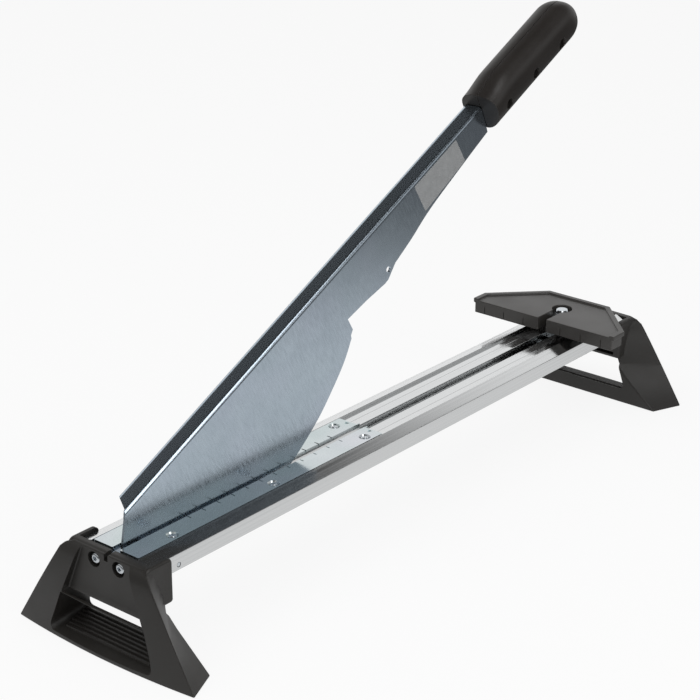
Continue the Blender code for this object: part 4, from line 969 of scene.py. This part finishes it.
def makeBolt():
    s = boltShape
    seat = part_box("fence_washer")[1].z / mm + s["seatGap"]
    half, top = s["headHalf"], seat + s["headHeight"]
    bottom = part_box("fence_clamp_bolt")[0].z / mm
    bolt = rod("clampBolt", (0, 0, seat + 0.2), (0, 0, top), half / math.cos(math.pi / 6), 6)
    crownLow, crownHigh = (0, 0, top - s["crownHeight"]), (0, 0, top + 0.2)
    crown = rod("crown", crownLow, crownHigh, half + s["crownSpread"], 64, half - s["crownTop"])
    combine(bolt, crown, "INTERSECT")
    flangeTop = (0, 0, seat + s["flangeHeight"])
    flange = rod("flange", (0, 0, seat), flangeTop, s["flangeRadius"], 64, half + 0.6)
    roundEdges(flange, s["flangeEdge"], 40, 3)
    combine(bolt, flange, "UNION")
    combine(bolt, rod("shank", (0, 0, bottom), (0, 0, seat + 0.5), s["shankRadius"], 32), "UNION")
    roundEdges(bolt, s["edge"], 40, 2)
    smooth(bolt, 35)
    placeBy(bolt, Matrix.Translation((clampPoint.x, 0, 0)))
    finishPiece(bolt, zinc, "fence_carriage", "zinc_plated_steel", "fence_clamp_bolt")


makeBolt()
print("laminate cutter: fence made")

# the small parts that keep their CAD shape get the same finishes
for nodeName in (
    "pivot_pin", "pivot_spacer_left", "pivot_spacer_right", "grip_screw_1", "grip_screw_2", "grip_screw_3",
    "fence_t_nut", "fence_washer", "fence_hub",
):
    nodes[nodeName].data.materials.clear()
    nodes[nodeName].data.materials.append(fencePlasticPaintedLighter if nodeName == "fence_hub" else zinc)

# floor, world and lamps

studio = {
    "floorHex": "#dcdcdc", "floorSize": 14.0, "floorZ": -0.0004, "floorWhiteShare": 0.88, "paintedReflectionReach": (0.28, 0.76),
    "paintedReflectionLevels": (0.80, 0.15), "wallStrength": 0.95, "wallTop": (0.60, 0.67), "wallDirection": (0.77, 0.64, 0.0),
    "wallSide": (0.30, 0.62), "sideStrength": 0.55, "sideBottom": (0.12, 0.32), "dimStrength": 0.04,
    "skyStrength": 0.55,
}


def makeFloor():
    # the camera sees a white floor with the cutter's soft shadow on it, and metal mirrors instead a painted
    # reflection: the floor glows for glossy rays, brightest under the cutter and darker away from its middle
    deselectAll()
    bpy.ops.mesh.primitive_plane_add(size=studio["floorSize"], location=(0, 0, studio["floorZ"]))
    floor = bpy.context.active_object
    floor.name = "studioFloor"
    made, shader = startMaterial("paleStudioFloor", Roughness=0.95)
    shader.inputs["Base Color"].default_value = linear(studio["floorHex"])
    shader.inputs["Specular IOR Level"].default_value = 0.0
    rays = add(made, "ShaderNodeLightPath").outputs
    place = add(made, "ShaderNodeTexCoord").outputs["Object"]
    away = add(made, "ShaderNodeVectorMath", None, {0: place}, operation="LENGTH").outputs["Value"]
    # painted reflection: the glow that metal mirrors falls from 0.80 near the floor's middle to 0.15 further out
    paintedReflection = mapRange(made, away, studio["paintedReflectionReach"], studio["paintedReflectionLevels"], interpolation_type="SMOOTHSTEP")
    lit = add(made, "ShaderNodeEmission", None, {"Strength": paintedReflection}).outputs[0]
    white = add(made, "ShaderNodeEmission", {"Strength": 1.0}).outputs[0]
    bare = shader.outputs[0]
    seen = add(made, "ShaderNodeMixShader", {0: studio["floorWhiteShare"]}, {1: bare, 2: white}).outputs[0]
    mirrored = add(made, "ShaderNodeMixShader", None, {0: rays["Is Glossy Ray"], 1: bare, 2: lit}).outputs[0]
    both = add(made, "ShaderNodeMixShader", None, {0: rays["Is Camera Ray"], 1: mirrored, 2: seen}).outputs[0]
    made.node_tree.links.new(both, made.node_tree.nodes["Material Output"].inputs["Surface"])
    floor.data.materials.append(made)


def makeWorld():
    # for metal to mirror: a white wall behind the cutter up to about 40 degrees, a greyer one round the other
    # sides from 10 degrees up, and a dim ceiling
    world = bpy.data.worlds.new("studioWorld")
    bpy.context.scene.world = world
    world.use_nodes = True
    background = world.node_tree.nodes["Background"]
    direction = add(world, "ShaderNodeTexCoord").outputs["Generated"]
    parts = add(world, "ShaderNodeSeparateXYZ", None, {0: direction}).outputs
    eased = {"interpolation_type": "SMOOTHSTEP"}
    low = mapRange(world, parts[2], studio["wallTop"], (1.0, 0.0), **eased)
    behind = add(
        world, "ShaderNodeVectorMath", {1: studio["wallDirection"]}, {0: direction}, operation="DOT_PRODUCT",
    ).outputs["Value"]
    far = mapRange(world, behind, studio["wallSide"], (0.0, 1.0), **eased)
    side = mapRange(world, parts[2], studio["sideBottom"], (0.0, studio["sideStrength"]), **eased)
    walls = add(world, "ShaderNodeMix", {3: studio["wallStrength"]}, {0: far, 2: side}).outputs[0]
    wall = add(world, "ShaderNodeMath", None, {0: low, 1: walls}, operation="MULTIPLY").outputs[0]
    mirrored = add(world, "ShaderNodeMath", {1: studio["dimStrength"]}, {0: wall}, operation="ADD").outputs[0]
    rays = add(world, "ShaderNodeLightPath").outputs
    lighting = {0: rays["Is Glossy Ray"], 3: mirrored}
    strength = add(world, "ShaderNodeMix", {2: studio["skyStrength"]}, lighting).outputs[0]
    shown = add(world, "ShaderNodeMix", {3: 1.0}, {0: rays["Is Camera Ray"], 2: strength}).outputs[0]
    world.node_tree.links.new(shown, background.inputs["Strength"])
    background.inputs["Color"].default_value = (1, 1, 1, 1)


# the key stands over the camera's left shoulder and shows in no metal, and a tall softbox beside the pivot
# gives the fold of the lever its white line
lamps = {
    "keySoftbox": {
        "spot": (-1.3, 0.6, 2.1), "target": (0, 0, 0.1), "size": (1.6, 1.6), "power": 20, "inMetal": False,
    },
    "foldSoftbox": {
        "spot": (-0.24, -0.95, 1.15), "target": (-0.2, 0, 0.15), "size": (0.5, 1.9), "power": 9, "inMetal": True,
    },
}


def areaLamp(name, spot, target, size, power, inMetal):
    lamp = bpy.data.lights.new(name, "AREA")
    lamp.shape = "RECTANGLE"
    lamp.size, lamp.size_y = size
    lamp.energy = power
    holder = bpy.data.objects.new(name, lamp)
    bpy.context.collection.objects.link(holder)
    holder.location = spot
    holder.rotation_euler = (Vector(target) - Vector(spot)).to_track_quat("-Z", "Y").to_euler()
    holder.visible_glossy = inMetal


# the photograph's own view, from the solved picture
view = {
    "azimuth": -50.479, "elevation": 22.298, "roll": 0.228, "place": (-1.01585, -0.80172, 0.65047),
    "sensor": 36, "lens": 99.235, "near": 0.05, "far": 50,
}


def makeCamera():
    azimuth, elevation, roll = (math.radians(view[part]) for part in ("azimuth", "elevation", "roll"))
    level = math.cos(elevation)
    back = Vector((math.sin(azimuth) * level, -math.cos(azimuth) * level, math.sin(elevation)))
    right = Vector((math.cos(azimuth), math.sin(azimuth), 0))
    up = back.cross(right)
    turnedRight = right * math.cos(roll) + up * math.sin(roll)
    turnedUp = up * math.cos(roll) - right * math.sin(roll)
    columns = (turnedRight, turnedUp, back, view["place"])
    camera = bpy.data.objects.new("photoCamera", bpy.data.cameras.new("photoCamera"))
    bpy.context.collection.objects.link(camera)
    camera.matrix_world = Matrix((*([column[row] for column in columns] for row in range(3)), (0, 0, 0, 1)))
    camera.data.sensor_width, camera.data.lens = view["sensor"], view["lens"]
    camera.data.clip_start, camera.data.clip_end = view["near"], view["far"]
    bpy.context.scene.camera = camera


makeFloor()
makeWorld()
for lampName, lamp in lamps.items():
    areaLamp(lampName, **lamp)
makeCamera()
bpy.context.scene.view_settings.view_transform = "Standard"
print("laminate cutter: studio made")
